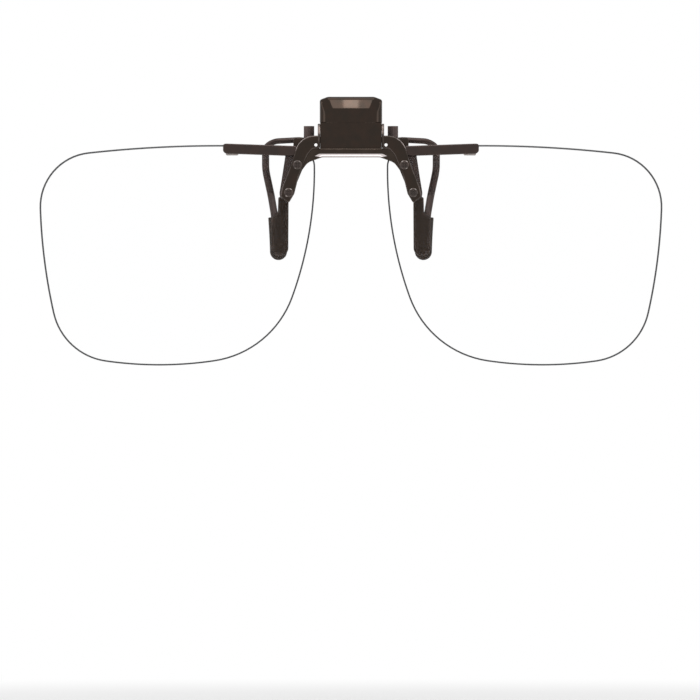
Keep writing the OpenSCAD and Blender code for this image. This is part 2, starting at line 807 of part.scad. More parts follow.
module right_brow_arm() {
  brow_arm();
}

module left_brow_arm() {
  left() brow_arm();
}

// Outline of an edge pad, which shows a little below the brow arm.
module edge_pad_outline(grow) {
  out = brow_end - 0.6;
  low = lens_top - brow_h - 0.12;
  polygon(rounded([
    [out - edge_pad_len - grow, low - grow, 0.3], [out + grow, low - grow, 0.3],
    [out + grow, lens_top - 0.3 + grow, 0.2], [out - edge_pad_len - grow, lens_top - 0.3 + grow, 0.2]
  ]));
}

module edge_pad() {
  color("#c9b59f")
  difference() {
    curved(lens_curve_r - edge_pad_t, lens_curve_r + lens_t + edge_pad_t) edge_pad_outline(0);
    lens_pocket(seat);
  }
}

module right_edge_pad() {
  edge_pad();
}

module left_edge_pad() {
  left() edge_pad();
}

// One lens screw: a domed pan head with a cross recess, and its shank through the stack.
stack_front = lens_front - 2 * (sheet_t + seat);
stack_back = lens_back + arm_t;
// The arm curves back from the middle of its two screws, and the flat nuts clear it.
nut_sag = (norm(screw_at[0] - screw_at[1]) / 2 + nut_w / sqrt(3)) ^ 2 / (2 * lens_curve_r);
nut_back = stack_back + nut_sag + seat + nut_h;
module lens_screw() {
  dome_r = 2.2;
  dome_y = stack_front - seat - head_h + dome_r;
  difference() {
    union() {
      intersection() {
        rod_y(stack_front - seat - head_h - over, stack_front - seat, head_d / 2, 0, 0);
        translate([0, dome_y, 0]) sphere(r = dome_r, $fn = 96);
      }
      rod_y(stack_front - seat - 0.1, nut_back + 0.13, screw_d / 2, 0, 0);
    }
    for (a = [45, 135]) rotate([0, a, 0])
      box([-0.6, stack_front - head_h - over, -0.11], [0.6, stack_front - head_h + 0.22, 0.11]);
  }
}

module at_screws() {
  both_sides() for (s = screw_at) translate([s.x, 0, s.y]) children();
}

module lens_screws() {
  color("#6d605a") at_screws() lens_screw();
}

module lens_nuts() {
  color("#8d8884") at_screws() difference() {
    translate([0, nut_back, 0]) rotate([90, 0, 0])
      cylinder(h = nut_h, r = nut_w / sqrt(3), $fn = 6);
    rod_y(stack_back - over, nut_back + over, screw_d / 2 + press_clear, 0, 0);
  }
}

module lens_bushes() {
  color("#e8e4da") at_screws() difference() {
    rod_y(lens_front + seat, lens_back - seat, bush_r, 0, 0);
    rod_y(lens_front - over, lens_back + over, screw_clear, 0, 0);
  }
}

clip_housing();
front_tab();
click_leaf();
front_jaw();
left_front_sleeve();
right_front_sleeve();
torsion_spring();
jaw_axle();
thumb_lever();
left_wire_post();
right_wire_post();
post_screws();
left_rear_wire();
right_rear_wire();
left_rear_sleeve();
right_rear_sleeve();
flip_pin();
hinge_washers();
bridge_bar();
left_horn();
right_horn();
left_lens();
right_lens();
left_brow_arm();
right_brow_arm();
left_edge_pad();
right_edge_pad();
lens_screws();
lens_nuts();
lens_bushes();
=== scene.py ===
"""Clip-on flip-up lenses for spectacles, dressed around their construction model.

Sizes in this file are millimetres. They become metres when a mesh is made. X runs to the
right, the lenses face -Y and Z is up. The origin lies midway between the grip pads.
"""

from __future__ import annotations

import logging
import math
from dataclasses import dataclass, field
from enum import Enum
from typing import Callable, Sequence, Union

import bpy
import numpy as np
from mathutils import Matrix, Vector
from mathutils.geometry import delaunay_2d_cdt

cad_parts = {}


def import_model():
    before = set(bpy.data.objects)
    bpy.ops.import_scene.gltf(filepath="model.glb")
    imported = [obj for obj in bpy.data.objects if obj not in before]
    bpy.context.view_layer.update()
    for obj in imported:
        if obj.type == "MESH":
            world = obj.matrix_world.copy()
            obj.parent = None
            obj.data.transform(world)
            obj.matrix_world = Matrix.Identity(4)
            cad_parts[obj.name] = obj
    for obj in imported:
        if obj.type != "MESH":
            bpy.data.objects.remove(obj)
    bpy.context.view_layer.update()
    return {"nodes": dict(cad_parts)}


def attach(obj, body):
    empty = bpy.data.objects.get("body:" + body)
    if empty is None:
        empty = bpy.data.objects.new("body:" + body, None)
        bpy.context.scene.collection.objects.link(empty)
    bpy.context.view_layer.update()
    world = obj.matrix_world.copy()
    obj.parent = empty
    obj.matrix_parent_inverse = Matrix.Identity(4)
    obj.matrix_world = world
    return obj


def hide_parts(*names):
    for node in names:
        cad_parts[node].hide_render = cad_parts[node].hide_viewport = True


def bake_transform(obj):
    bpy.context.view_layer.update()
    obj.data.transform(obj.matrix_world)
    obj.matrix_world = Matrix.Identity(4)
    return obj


MM = 0.001
# The photograph's side and the origin's place in it are pixels, and its scale is mm per pixel.
PHOTO_SIDE = 700
PHOTO_SCALE = 0.21
PHOTO_ORIGIN = (350.95, 236.0)
SHARP_ANGLE = math.radians(32)
# A plate's holes have this many sides and this radius along their edges.
HOLE_SIDES = 28
HOLE_EDGE = 0.03
BACK_TAG = 3.0
WHITE = (1.0, 1.0, 1.0, 1.0)

Points = np.ndarray
Surface = Callable[[Points, Points], Points]
Colour = tuple[float, float, float]
Value = Union["Link", float]
Sockets = dict[Union[int, str], object]
log = logging.getLogger("clip_on")


class Side(Enum):
    """The two halves of the clip-on, by the sign of x."""

    RIGHT = 1
    LEFT = -1

    @property
    def word(self) -> str:
        """The side's name as pieces carry it."""
        return self.name.lower()


class Body(Enum):
    """The bodies that pieces ride on."""

    CLIP = "clip"
    REAR_JAW = "rear_jaw"
    LENSES = "lens_carrier"


def unit(v: Points) -> Points:
    """Vectors of length 1 along the rows of v."""
    return v / np.linalg.norm(v, axis=-1, keepdims=True)


def circle(angle: Points) -> Points:
    """Points (cos a, sin a) at angles a of the circle of radius 1."""
    return np.stack([np.cos(angle), np.sin(angle)], -1)


def raised(flat: Points, y: Points) -> Points:
    """Places (x, y, z) over points (x, z)."""
    return np.stack([flat[..., 0], y, flat[..., 1]], -1)


def smooth_step(low: float, high: float, x: Points) -> Points:
    """A share that eases from 0 at low to 1 at high.

    Args:
        low: value at which the share leaves 0.
        high: value at which it reaches 1.
        x: values to look up.

    Returns:
        3t^2 - 2t^3, where t is x's place between low and high, held to 0 and 1.
    """
    t = np.clip((x - low) / (high - low), 0.0, 1.0)
    return t * t * (3 - 2 * t)


def rounded(corners: Sequence[Sequence[float]], steps: int = 8) -> Points:
    """A closed outline whose corners are arcs.

    The arc at a corner has its centre on the bisector, r / sin(half the angle) from the
    corner, and turns evenly from one tangent point to the other.

    Args:
        corners: rows of (x, z, r), anticlockwise as seen from the front.
        steps: stretches along each arc.

    Returns:
        Points (n, 2) without repeats.
    """
    rows = np.array(corners, float)
    place, r = rows[:, :2], rows[:, 2]
    back = unit(np.roll(place, 1, 0) - place)
    ahead = unit(np.roll(place, -1, 0) - place)
    half = np.arccos(np.clip((back * ahead).sum(1), -1, 1)) / 2
    centre = place + unit(back + ahead) * (r / np.sin(half))[:, None]
    start = place + back * (r / np.tan(half))[:, None] - centre
    end = place + ahead * (r / np.tan(half))[:, None] - centre
    first = np.arctan2(start[:, 1], start[:, 0])
    sweep = np.arctan2(end[:, 1], end[:, 0]) - first
    sweep = (sweep + math.pi) % math.tau - math.pi
    angle = first[:, None] + sweep[:, None] * np.linspace(0, 1, steps + 1)
    arcs = centre[:, None] + r[:, None, None] * circle(angle)
    keep = np.ones(angle.shape, bool)
    keep[r == 0, 1:] = False
    return arcs[keep]


def mirrored(corners: Sequence[Sequence[float]]) -> list[list[float]]:
    """Corners of the right half followed by their mirror images, as one outline."""
    return [list(c) for c in corners] + [[-c[0], c[1], c[2]] for c in reversed(corners)]


def spaced(loop: Points, step: float, like: Points | None = None) -> Points:
    """A closed loop with points added so that no stretch is longer than step.

    Args:
        loop: points (n, 2).
        step: longest stretch to leave.
        like: a loop of as many points, whose stretches set the counts instead.

    Returns:
        Points (m, 2), the old ones among them.
    """
    ahead = np.roll(loop, -1, 0) - loop
    ruler = ahead if like is None else np.roll(like, -1, 0) - like
    count = np.maximum(1, np.ceil(np.linalg.norm(ruler, axis=1) / step)).astype(int)
    owner = np.repeat(np.arange(len(loop)), count)
    share = (np.arange(len(owner)) - np.repeat(np.cumsum(count) - count, count)) / count[owner]
    return loop[owner] + ahead[owner] * share[:, None]


def inset(loop: Points, distance: Points) -> Points:
    """A closed loop moved to its left, which is inwards where it runs anticlockwise.

    Each point moves along the bisector of its corner by distance over the cosine of half
    the turn, so that every side moves by distance.

    Args:
        loop: points (n, 2).
        distance: a distance for each point.

    Returns:
        Points (n, 2).
    """
    ahead = unit(np.roll(loop, -1, 0) - loop)
    before = np.roll(ahead, 1, 0)
    to_left = np.array([[0.0, 1.0], [-1.0, 0.0]])
    normal, last = ahead @ to_left, before @ to_left
    middle = unit(normal + last)
    reach = distance / np.maximum((middle * normal).sum(1), 0.3)
    return loop + middle * reach[:, None]


def ring(x: float, z: float, r: float) -> Points:
    """A round hole's edge, clockwise as seen from the front."""
    angle = -np.linspace(0, math.tau, HOLE_SIDES, endpoint=False)
    return np.array([x, z]) + r * circle(angle)


def inside(points: Points, loops: Sequence[Points]) -> Points:
    """Whether points lie in an outline and out of its holes, by the even-odd rule.

    Args:
        points: points (n, 2).
        loops: the outline and its holes.

    Returns:
        One truth value for each point.
    """
    crossings = np.zeros(len(points), int)
    for loop in loops:
        a, b = loop[None], np.roll(loop, -1, 0)[None]
        p = points[:, None]
        spans = (a[..., 1] > p[..., 1]) != (b[..., 1] > p[..., 1])
        rise = np.where(spans, b[..., 1] - a[..., 1], 1.0)
        x = a[..., 0] + (p[..., 1] - a[..., 1]) * (b[..., 0] - a[..., 0]) / rise
        crossings += (spans & (p[..., 0] < x)).sum(1)
    return crossings % 2 == 1


def fill(loops: Sequence[Points], step: float) -> tuple[Points, Points]:
    """Triangles that fill an outline and leave its holes open.

    Grid points one step apart join the loops' points in a constrained triangulation, and
    a triangle stays if its middle is inside by the even-odd rule.

    Args:
        loops: the outline and its holes.
        step: distance between grid points.

    Returns:
        Points (n, 2), the loops' first and in order, and triangles (m, 3).
    """
    edge = np.concatenate(loops)
    low, high = edge.min(0), edge.max(0)
    grid = np.stack(np.meshgrid(*[np.arange(low[k] + step / 2, high[k], step) for k in (0, 1)]), -1)
    grid = grid.reshape(-1, 2)
    grid = grid[inside(grid, loops)]
    if len(grid):
        apart = np.linalg.norm(grid[:, None] - edge[None], axis=2).min(1)
        grid = grid[apart > 0.55 * step]
    points = np.concatenate([edge, grid])
    starts = np.cumsum([0] + [len(loop) for loop in loops])
    sides = np.concatenate([
        np.stack([np.arange(len(loop)), (np.arange(len(loop)) + 1) % len(loop)], -1) + start
        for loop, start in zip(loops, starts)
    ])
    found = delaunay_2d_cdt(points.tolist(), sides.tolist(), [], 0, 1e-7)
    origin = np.array([rows[0] for rows in found[3]])
    triangles = origin[np.array(found[2])]
    a, b, c = (points[triangles[:, k]] for k in range(3))
    area = (b[:, 0] - a[:, 0]) * (c[:, 1] - a[:, 1]) - (b[:, 1] - a[:, 1]) * (c[:, 0] - a[:, 0])
    triangles[area < 0] = triangles[area < 0, ::-1]
    keep = inside((a + b + c) / 3, loops) & (np.abs(area) > 1e-9)
    return points, triangles[keep]


@dataclass
class Shell:
    """Closed faces of a piece before they become a mesh.

    A tag tells a material where a face lies: 0 on a front, 1 to 2 round a rim from its
    front to its back, and BACK_TAG on a back. A rim's tag between 0.5 and 1 takes less of
    the pale rim colour, which is partly wear and partly a painted highlight.

    Attributes:
        points: places (n, 3) in millimetres.
        faces: blocks of faces, each (m, 3) or (m, 4) indices.
        tags: for each block, one tag or one for each face.
    """

    points: Points
    faces: list[Points] = field(default_factory=list)
    tags: list[float | Points] = field(default_factory=list)

    def add(self, faces: Points, tag: float | Points = 0.0) -> Shell:
        """Adds a block of faces and gives the shell back."""
        self.faces.append(np.asarray(faces, int))
        self.tags.append(tag)
        return self

    def mirrored(self) -> Shell:
        """The shell's mirror image across x = 0, with its faces still pointing outwards."""
        return Shell(self.points * [-1, 1, 1], [f[:, ::-1] for f in self.faces], list(self.tags))

    def on(self, side: Side) -> Shell:
        """The shell on one side, where it is drawn for the right one."""
        return self if side is Side.RIGHT else self.mirrored()

    def dim(self, way: Sequence[float], tag: float, least: float, floor: float = -math.inf) -> None:
        """Retags the rim faces that don't turn towards a direction, so that they take less of the pale rim
        colour, which is partly wear and partly a painted highlight.

        Args:
            way: the direction, of length 1.
            tag: their new tag.
            least: cosine of the widest angle to the direction that keeps its tag. Above 1,
                every rim face is retagged.
            floor: height below which every rim face is retagged.
        """
        for k, block in enumerate(self.faces):
            a, b, c = (self.points[block[:, i]] for i in range(3))
            normal = np.cross(b - a, c - a)
            away = normal @ np.array(way) < least * np.linalg.norm(normal, axis=1)
            away |= self.points[block][..., 2].mean(1) < floor
            old = np.broadcast_to(self.tags[k], len(block))
            self.tags[k] = np.where(away & (old >= 1) & (old <= 2), tag, old)

    def moved(self, shift: Sequence[float]) -> Shell:
        """The shell moved by a vector."""
        return Shell(self.points + np.array(shift, float), list(self.faces), list(self.tags))

    @staticmethod
    def joined(shells: Sequence[Shell]) -> Shell:
        """Several shells as one."""
        starts = np.cumsum([0] + [len(s.points) for s in shells])
        whole = Shell(np.concatenate([s.points for s in shells]))
        for shell, start in zip(shells, starts):
            for block, tag in zip(shell.faces, shell.tags):
                whole.add(block + start, tag)
        return whole

    def mesh(self, name: str) -> bpy.types.Mesh:
        """Makes the mesh, in metres, with smooth faces that meet sharply at hard edges.

        Args:
            name: the mesh's name.

        Returns:
            The mesh. Its face attribute "band" holds the blocks' tags.
        """
        made = bpy.data.meshes.new(name)
        sizes = np.concatenate([np.full(len(f), f.shape[1]) for f in self.faces])
        corners = np.concatenate([f.ravel() for f in self.faces])
        made.vertices.add(len(self.points))
        made.vertices.foreach_set("co", (self.points * MM).astype(np.float32).ravel())
        made.loops.add(len(corners))
        made.loops.foreach_set("vertex_index", corners.astype(np.int32))
        made.polygons.add(len(sizes))
        made.polygons.foreach_set("loop_start", (np.cumsum(sizes) - sizes).astype(np.int32))
        made.update(calc_edges=True)
        made.validate()
        band = made.attributes.new("band", "FLOAT", "FACE")
        values = np.concatenate([np.broadcast_to(t, len(f)) for f, t in zip(self.faces, self.tags)])
        band.data.foreach_set("value", values.astype(np.float32))
        made.shade_smooth()
        made.set_sharp_from_angle(angle=SHARP_ANGLE)
        return made


def strip_faces(first: Points, second: Points) -> Points:
    """Quads between two closed rows of indices, which face the right of first's way round."""
    return np.stack([first, second, np.roll(second, -1), np.roll(first, -1)], -1)


def plate(
    outline: Points,
    front: Surface,
    back: Surface,
    holes: Sequence[Points],
    step: float,
    edge: float | Surface,
    back_edge: float,
    turns: int = 3,
) -> Shell:
    """A plate between two surfaces y = front(x, z) and y = back(x, z), with eased edges.

    Each loop's rim is a profile carried round it: at angle t from 0 to 90 degrees it lies
    r(1 - sin t) in from the outline and r(1 - cos t) behind the face. A hole's edges have
    the radius HOLE_EDGE.

    Args:
        outline: closed loop (n, 2), anticlockwise as seen from the front.
        front: y of the front face.
        back: y of the back face.
        holes: clockwise loops.
        step: distance between the points inside the faces.
        edge: radius of the front edge, or a function of x and z that gives it.
        back_edge: radius of the back edge.
        turns: stretches in each quarter turn of the edge; 1 makes a chamfer.

    Returns:
        The closed shell.
    """
    angle = np.linspace(0, math.pi / 2, turns + 1)
    shell = Shell(np.zeros((0, 3)))
    places: list[Points] = []
    rims: list[tuple[list[Points], Points]] = []
    count = 0
    for number, loop in enumerate([spaced(outline, step), *holes]):
        r = edge(*loop.T) if callable(edge) else np.full(len(loop), edge)
        back_r = np.full(len(loop), back_edge)
        if number > 0:
            r = back_r = np.full(len(loop), HOLE_EDGE)
        rows = []
        for surface, radius, turn, way in ((front, r, angle, 1), (back, back_r, angle[::-1], -1)):
            for t in turn:
                flat = inset(loop, radius * (1 - math.sin(t)))
                rows.append(raised(flat, surface(*flat.T) + way * radius * (1 - math.cos(t))))
        index = count + np.arange(len(rows) * len(loop)).reshape(len(rows), -1)
        count += index.size
        places += rows
        rims.append((rows, index))
        for k in range(len(rows) - 1):
            shell.add(strip_faces(index[k], index[k + 1]), 1 + k / (len(rows) - 2))
    for surface, end, order, tag in ((front, 0, 1, 0.0), (back, -1, -1, BACK_TAG)):
        flat, triangles = fill([rows[end][:, [0, 2]] for rows, _ in rims], step)
        border = np.concatenate([index[end] for _, index in rims])
        extra = flat[len(border):]
        places.append(raised(extra, surface(*extra.T)))
        spots = np.concatenate([border, count + np.arange(len(extra))])
        count += len(extra)
        shell.add(spots[triangles][:, ::order], tag)
    shell.points = np.concatenate(places)
    return shell


def flat_at(y: float) -> Surface:
    """The plane at y, as a surface of x and z."""
    return lambda x, z: np.full(np.shape(x), float(y))


def lofted(sections: Points) -> Shell:
    """A closed shell through closed sections, with a point in the middle of each end.

    Section i's point j joins section i + 1's point j, and each end is a fan about the
    mean of its section.

    Args:
        sections: places (n, m, 3), each section clockwise as seen from the one after it.

    Returns:
        The shell.
    """
    n, m = sections.shape[:2]
    ends = sections[[0, -1]].mean(1)
    index = np.arange(n * m).reshape(n, m)
    shell = Shell(np.concatenate([sections.reshape(-1, 3), ends]))
    for k in range(n - 1):
        shell.add(strip_faces(index[k], index[k + 1]))
    first, last = index[0], index[-1]
    shell.add(np.stack([first, np.roll(first, -1), np.full(m, n * m)], -1))
    return shell.add(np.stack([np.roll(last, -1), last, np.full(m, n * m + 1)], -1))


def tube(
    path: Points,
    radius: float,
    across: Sequence[float],
    sides: int,
    ease: float,
    pressed: Points | float = 0.0,
) -> Shell:
    """A wire along a path, with eased ends.

    A ring r(cos a b / w + sin a w c) is carried along the path, where b is the part of
    across that is square to the path's direction t, c = t x b, and w is 1 for a round
    wire and more where it is pressed wider.

    Args:
        path: places (n, 3).
        radius: the wire's radius.
        across: a vector that is never along the path.
        sides: points round the wire.
        ease: radius of the ends' rounded edge.
        pressed: share by which the wire is wider along c, at each place.

    Returns:
        The closed shell.
    """
    t = unit(np.gradient(path, axis=0))
    side = np.array(across, float)
    b = unit(side - (t @ side)[:, None] * t)
    c = np.cross(t, b)
    w = 1 + np.broadcast_to(pressed, len(path))
    bend = np.linspace(0, math.pi / 2, 4)
    inner = np.zeros(len(path) - 2)
    k = np.concatenate([np.zeros(4, int), np.arange(1, len(path) - 1), np.full(4, len(path) - 1)])
    slide = np.concatenate([ease * (1 - np.cos(bend)), inner, -ease * (1 - np.cos(bend[::-1]))])
    r = radius - np.concatenate([ease * (1 - np.sin(bend)), inner, ease * (1 - np.sin(bend[::-1]))])
    angle = -np.linspace(0, math.tau, sides, endpoint=False)
    around = np.cos(angle)[None, :, None] * (b / w[:, None])[k, None]
    around = around + np.sin(angle)[None, :, None] * (c * w[:, None])[k, None]
    place = path[k] + slide[:, None] * t[k]
    return lofted(place[:, None] + r[:, None, None] * around)


def turned(profile: Points, sides: int) -> Shell:
    """A solid of revolution about the Y axis.

    The point at angle a of a profile row (r, y) is (r cos a, y, r sin a), and both ends
    close on the axis.

    Args:
        profile: rows of (r, y), from the front end to the back, radii above 0.
        sides: points round the axis.

    Returns:
        The closed shell.
    """
    angle = np.linspace(0, math.tau, sides, endpoint=False)
    r, y = profile[:, 0][:, None], profile[:, 1][:, None]
    return lofted(raised(r[..., None] * circle(angle), np.broadcast_to(y, (len(profile), sides))))


def bent_path(corners: Sequence[Sequence[float]], radii: Sequence[float], steps: int) -> Points:
    """A path with its inner corners rounded, in three dimensions.

    Each bend is an arc c + r(cos a e1 + sin a e2) in the plane of its two straight runs.

    Args:
        corners: places of the corners and both ends.
        radii: bend radius at each inner corner.
        steps: stretches along each bend.

    Returns:
        Points (n, 3).
    """
    p = np.array(corners, float)
    u, w = unit(p[:-2] - p[1:-1]), unit(p[2:] - p[1:-1])
    r = np.array(radii, float)[:, None]
    half = np.arccos((u * w).sum(1, keepdims=True)) / 2
    centre = p[1:-1] + unit(u + w) * r / np.sin(half)
    start = unit(p[1:-1] + u * r / np.tan(half) - centre)
    end = unit(p[1:-1] + w * r / np.tan(half) - centre)
    sweep = np.arccos((start * end).sum(1, keepdims=True))
    second = unit(end - start * (start * end).sum(1, keepdims=True))
    a = sweep[:, None] * np.linspace(0, 1, steps + 1)[None, :, None]
    arcs = centre[:, None] + r[:, None] * (np.cos(a) * start[:, None] + np.sin(a) * second[:, None])
    return np.concatenate([p[:1], arcs.reshape(-1, 3), p[-1:]])


class Link:
    """A socket of a node, which takes part in Python expressions.

    Attributes:
        nodes: the maker that the socket's node belongs to.
        socket: the output socket.
    """

    def __init__(self, nodes: NodeMaker, socket: bpy.types.NodeSocket) -> None:
        """Keeps the maker and the socket."""
        self.nodes = nodes
        self.socket = socket

    def math(self, operation: str, *others: Value) -> Link:
        """A Math node of the given operation over this value and others."""
        return self.nodes.add("ShaderNodeMath", {"operation": operation}, dict(enumerate((self, *others))))

    def __add__(self, other: Value) -> Link:
        """The sum."""
        return self.math("ADD", other)

    __radd__ = __add__

    def __sub__(self, other: Value) -> Link:
        """The difference."""
        return self.math("SUBTRACT", other)

    def __rsub__(self, other: Value) -> Link:
        """The difference, the other way round."""
        return (self * -1.0) + other

    def __mul__(self, other: Value) -> Link:
        """The product."""
        return self.math("MULTIPLY", other)

    __rmul__ = __mul__

    def step(self, low: float, high: float) -> Link:
        """A share that eases from 0 where the value is low to 1 where it is high."""
        settings = {"interpolation_type": "SMOOTHSTEP"}
        return self.nodes.add("ShaderNodeMapRange", settings, {0: self, 1: low, 2: high})


class NodeMaker:
    """Builds the nodes of a material or of the world."""

    def __init__(self, owner: bpy.types.Material | bpy.types.World) -> None:
        """Empties the owner's nodes.

        Args:
            owner: the material or world.
        """
        owner.use_nodes = True
        self.tree = owner.node_tree
        self.tree.nodes.clear()

    def add(
        self, kind: str, settings: dict | None = None, inputs: Sockets | None = None, out: int = 0
    ) -> Link:
        """Adds a node.

        Args:
            kind: the node's type.
            settings: properties that are set first.
            inputs: sockets by name or number, each with a value or a Link.
            out: number of the output to give back.

        Returns:
            The output as a Link, or the node's first input where it has no output.
        """
        node = self.tree.nodes.new(kind)
        for key, value in (settings or {}).items():
            setattr(node, key, value)
        for key, value in (inputs or {}).items():
            if isinstance(value, Link):
                self.tree.links.new(value.socket, node.inputs[key])
            else:
                node.inputs[key].default_value = value
        return Link(self, node.outputs[out] if node.outputs else node.inputs[0])

    def place(self) -> Link:
        """The surface's place on its piece, in metres."""
        return self.add("ShaderNodeTexCoord", out=3)

    def noise(self, size: float, detail: float = 3.0, stretch: Sequence[float] = (1, 1, 1)) -> Link:
        """Cloudy noise.

        Args:
            size: distance between its lumps, in millimetres.
            detail: how many finer layers it holds.
            stretch: factors on its scale along x, y and z.

        Returns:
            Values about 0.5.
        """
        spot = self.add("ShaderNodeMapping", inputs={"Vector": self.place(), "Scale": stretch})
        inputs = {"Vector": spot, "Scale": 1 / (size * MM), "Detail": detail}
        return self.add("ShaderNodeTexNoise", inputs=inputs)

    def band(self) -> Link:
        """The face attribute that holds the tags."""
        return self.add("ShaderNodeAttribute", {"attribute_name": "band"}, out=2)

    def rim(self) -> Link:
        """1 on rims, less where their tags give them less of the pale rim colour (wear and painted
        highlight), and 0 on faces.
        """
        band = self.band()
        return band.step(0.5, 1.0) * (1 - band.step(2.2, 2.6))

    def mix(self, share: Value, first: Colour | Link, second: Colour | Link) -> Link:
        """A colour between two, by a share from 0 to 1."""
        inputs = {0: share}
        for number, colour in ((6, first), (7, second)):
            inputs[number] = colour if isinstance(colour, Link) else (*colour, 1.0)
        return self.add("ShaderNodeMix", {"data_type": "RGBA"}, inputs, out=2)

    def bump(self, height: Link, depth: float, strength: float) -> Link:
        """A normal from a height.

        Args:
            height: values from 0 to 1.
            depth: the height's full range, in millimetres.
            strength: share of the bump that is used.

        Returns:
            The normal.
        """
        inputs = {"Height": height, "Distance": depth * MM, "Strength": strength}
        return self.add("ShaderNodeBump", inputs=inputs)


def tinted(colour: Colour, factor: Colour | float) -> Colour:
    """A colour times one factor, or times one for each channel."""
    return tuple(np.array(colour) * factor)


def metal(colour: Link, roughness: Link, normal: Link) -> Sockets:
    """The shader's sockets for a metal."""
    return {"Base Color": colour, "Metallic": 1.0, "Roughness": roughness, "Normal": normal}


@dataclass(frozen=True)
class Finish:
    """What the surface of a piece looks like.

    Attributes:
        name: the material's name.
        slot: name of a material slot; not used.
    """

    name: str
    slot: str

    def sockets(self, nodes: NodeMaker) -> Sockets:
        """What feeds the sockets of the finish's shader.

        Args:
            nodes: the material's maker.

        Returns:
            Values and links by socket.
        """
        raise NotImplementedError

    def material(self) -> bpy.types.Material:
        """Builds the material of the finish.

        Returns:
            The material.
        """
        made = bpy.data.materials.new(self.name)
        nodes = NodeMaker(made)
        shader = nodes.add("ShaderNodeBsdfPrincipled", inputs=self.sockets(nodes))
        nodes.add("ShaderNodeOutputMaterial", inputs={0: shader})
        return made


@dataclass(frozen=True)
class PlatedBronze(Finish):
    """Dark bronze plating over brass: glossy, a little cloudy, with a paler colour along its
    edges that is partly burnished wear and partly a painted highlight.

    Attributes:
        colour: reflected colour of the plating.
        edge_wear_and_highlight_colour: reflected colour along the rims, partly burnished wear and partly a
            painted highlight.
        rub: share of that colour along the rims.
        roughness: mean roughness.
        haze: how much the roughness wanders.
        grain: strength of the fine bump.
    """

    slot: str = "bronze_metal"
    colour: Colour = (0.037, 0.028, 0.0225)
    edge_wear_and_highlight_colour: Colour = (0.12, 0.098, 0.09)
    rub: float = 0.35
    roughness: float = 0.24
    haze: float = 0.12
    grain: float = 0.25

    def sockets(self, nodes: NodeMaker) -> Sockets:
        """The plating, warmer and cooler in clouds, with a paler rim colour that is partly wear and partly
        a painted highlight.

        Args:
            nodes: the material's maker.

        Returns:
            Values and links by socket.
        """
        cloud = nodes.noise(1.9)
        grain = nodes.noise(0.16, 2.0)
        warm = tinted(self.colour, (1.1, 1.03, 1.02))
        cool = tinted(self.colour, (0.93, 0.96, 0.98))
        base = nodes.mix(cloud.step(0.3, 0.7), cool, warm)
        # Rims take a paler colour: partly burnished wear, partly a painted highlight.
        edge_wear_and_highlight_share = nodes.rim() * cloud.step(0.25, 0.65) * self.rub
        rough = self.roughness + self.haze * (cloud - 0.5) + 0.08 * (grain - 0.5)
        return metal(nodes.mix(edge_wear_and_highlight_share, base, self.edge_wear_and_highlight_colour), rough, nodes.bump(grain, 0.0012, self.grain))


@dataclass(frozen=True)
class PolishedBarWithHighlight(PlatedBronze):
    """The same plating on the bridge bar, with a bright stripe along its rolled lower edge
    that is partly polish and partly a painted highlight.

    Attributes:
        bright: reflected colour of the stripe, polish with a painted highlight.
        low: height of the stripe's lower side.
        high: height of its upper side.
        point: height at which both sides meet in a point at each end.
        tip_from: distance from the middle at which the stripe starts to narrow.
        tip_to: distance from the middle at which it has closed.
        soft: height over which the stripe's sides fade.
    """

    bright: Colour = (0.66, 0.6, 0.59)
    low: float = 16.46
    high: float = 17.16
    point: float = 16.66
    tip_from: float = 6.4
    tip_to: float = 7.85
    soft: float = 0.06

    def sockets(self, nodes: NodeMaker) -> Sockets:
        """The plating with the bright stripe, a painted highlight on polish, which leaves out the bar's
        back.

        Args:
            nodes: the material's maker.

        Returns:
            Values and links by socket.
        """
        cloud = nodes.noise(1.9)
        drawn = nodes.noise(0.35, 2.0, (0.06, 1, 1))
        base = nodes.mix(cloud.step(0.3, 0.7), self.colour, tinted(self.colour, 1.25))
        across = nodes.add("ShaderNodeSeparateXYZ", inputs={0: nodes.place()}).math("ABSOLUTE")
        height = nodes.add("ShaderNodeSeparateXYZ", inputs={0: nodes.place()}, out=2)
        tip = across.step(self.tip_from * MM, self.tip_to * MM)
        low, high, point = (v * MM for v in (self.low, self.high, self.point))
        above = (height - (tip * (point - low) + low)) * (1 / MM)
        below = ((high - tip * (high - point)) - height) * (1 / MM)
        back = nodes.band().step(2.4, 2.8)
        # The stripe, shaped like a highlight with pointed ends, is painted bright.
        bright = above.step(0.0, self.soft) * below.step(0.0, self.soft) * (1 - back)
        rough = self.roughness - 0.1 * bright + 0.08 * (drawn - 0.5)
        return metal(nodes.mix(bright, base, self.bright), rough, nodes.bump(drawn, 0.003, 0.5))


@dataclass(frozen=True)
class BareMetal(Finish):
    """Uncoated metal with turned or drawn marks.

    Attributes:
        colour: reflected colour.
        roughness: mean roughness.
        stretch: noise scale along x, y and z, small along the marks.
    """

    slot: str = "steel"
    colour: Colour = (0.42, 0.4, 0.39)
    roughness: float = 0.3
    stretch: tuple[float, float, float] = (1.0, 0.12, 1.0)

    def sockets(self, nodes: NodeMaker) -> Sockets:
        """The metal, duller in clouds, with its marks in bump and gloss.

        Args:
            nodes: the material's maker.

        Returns:
            Values and links by socket.
        """
        marks = nodes.noise(0.12, 4.0, self.stretch)
        cloud = nodes.noise(1.4)
        colour = nodes.mix(cloud.step(0.35, 0.7), tinted(self.colour, 0.72), self.colour)
        return metal(colour, self.roughness + 0.22 * (marks - 0.5), nodes.bump(marks, 0.006, 0.6))


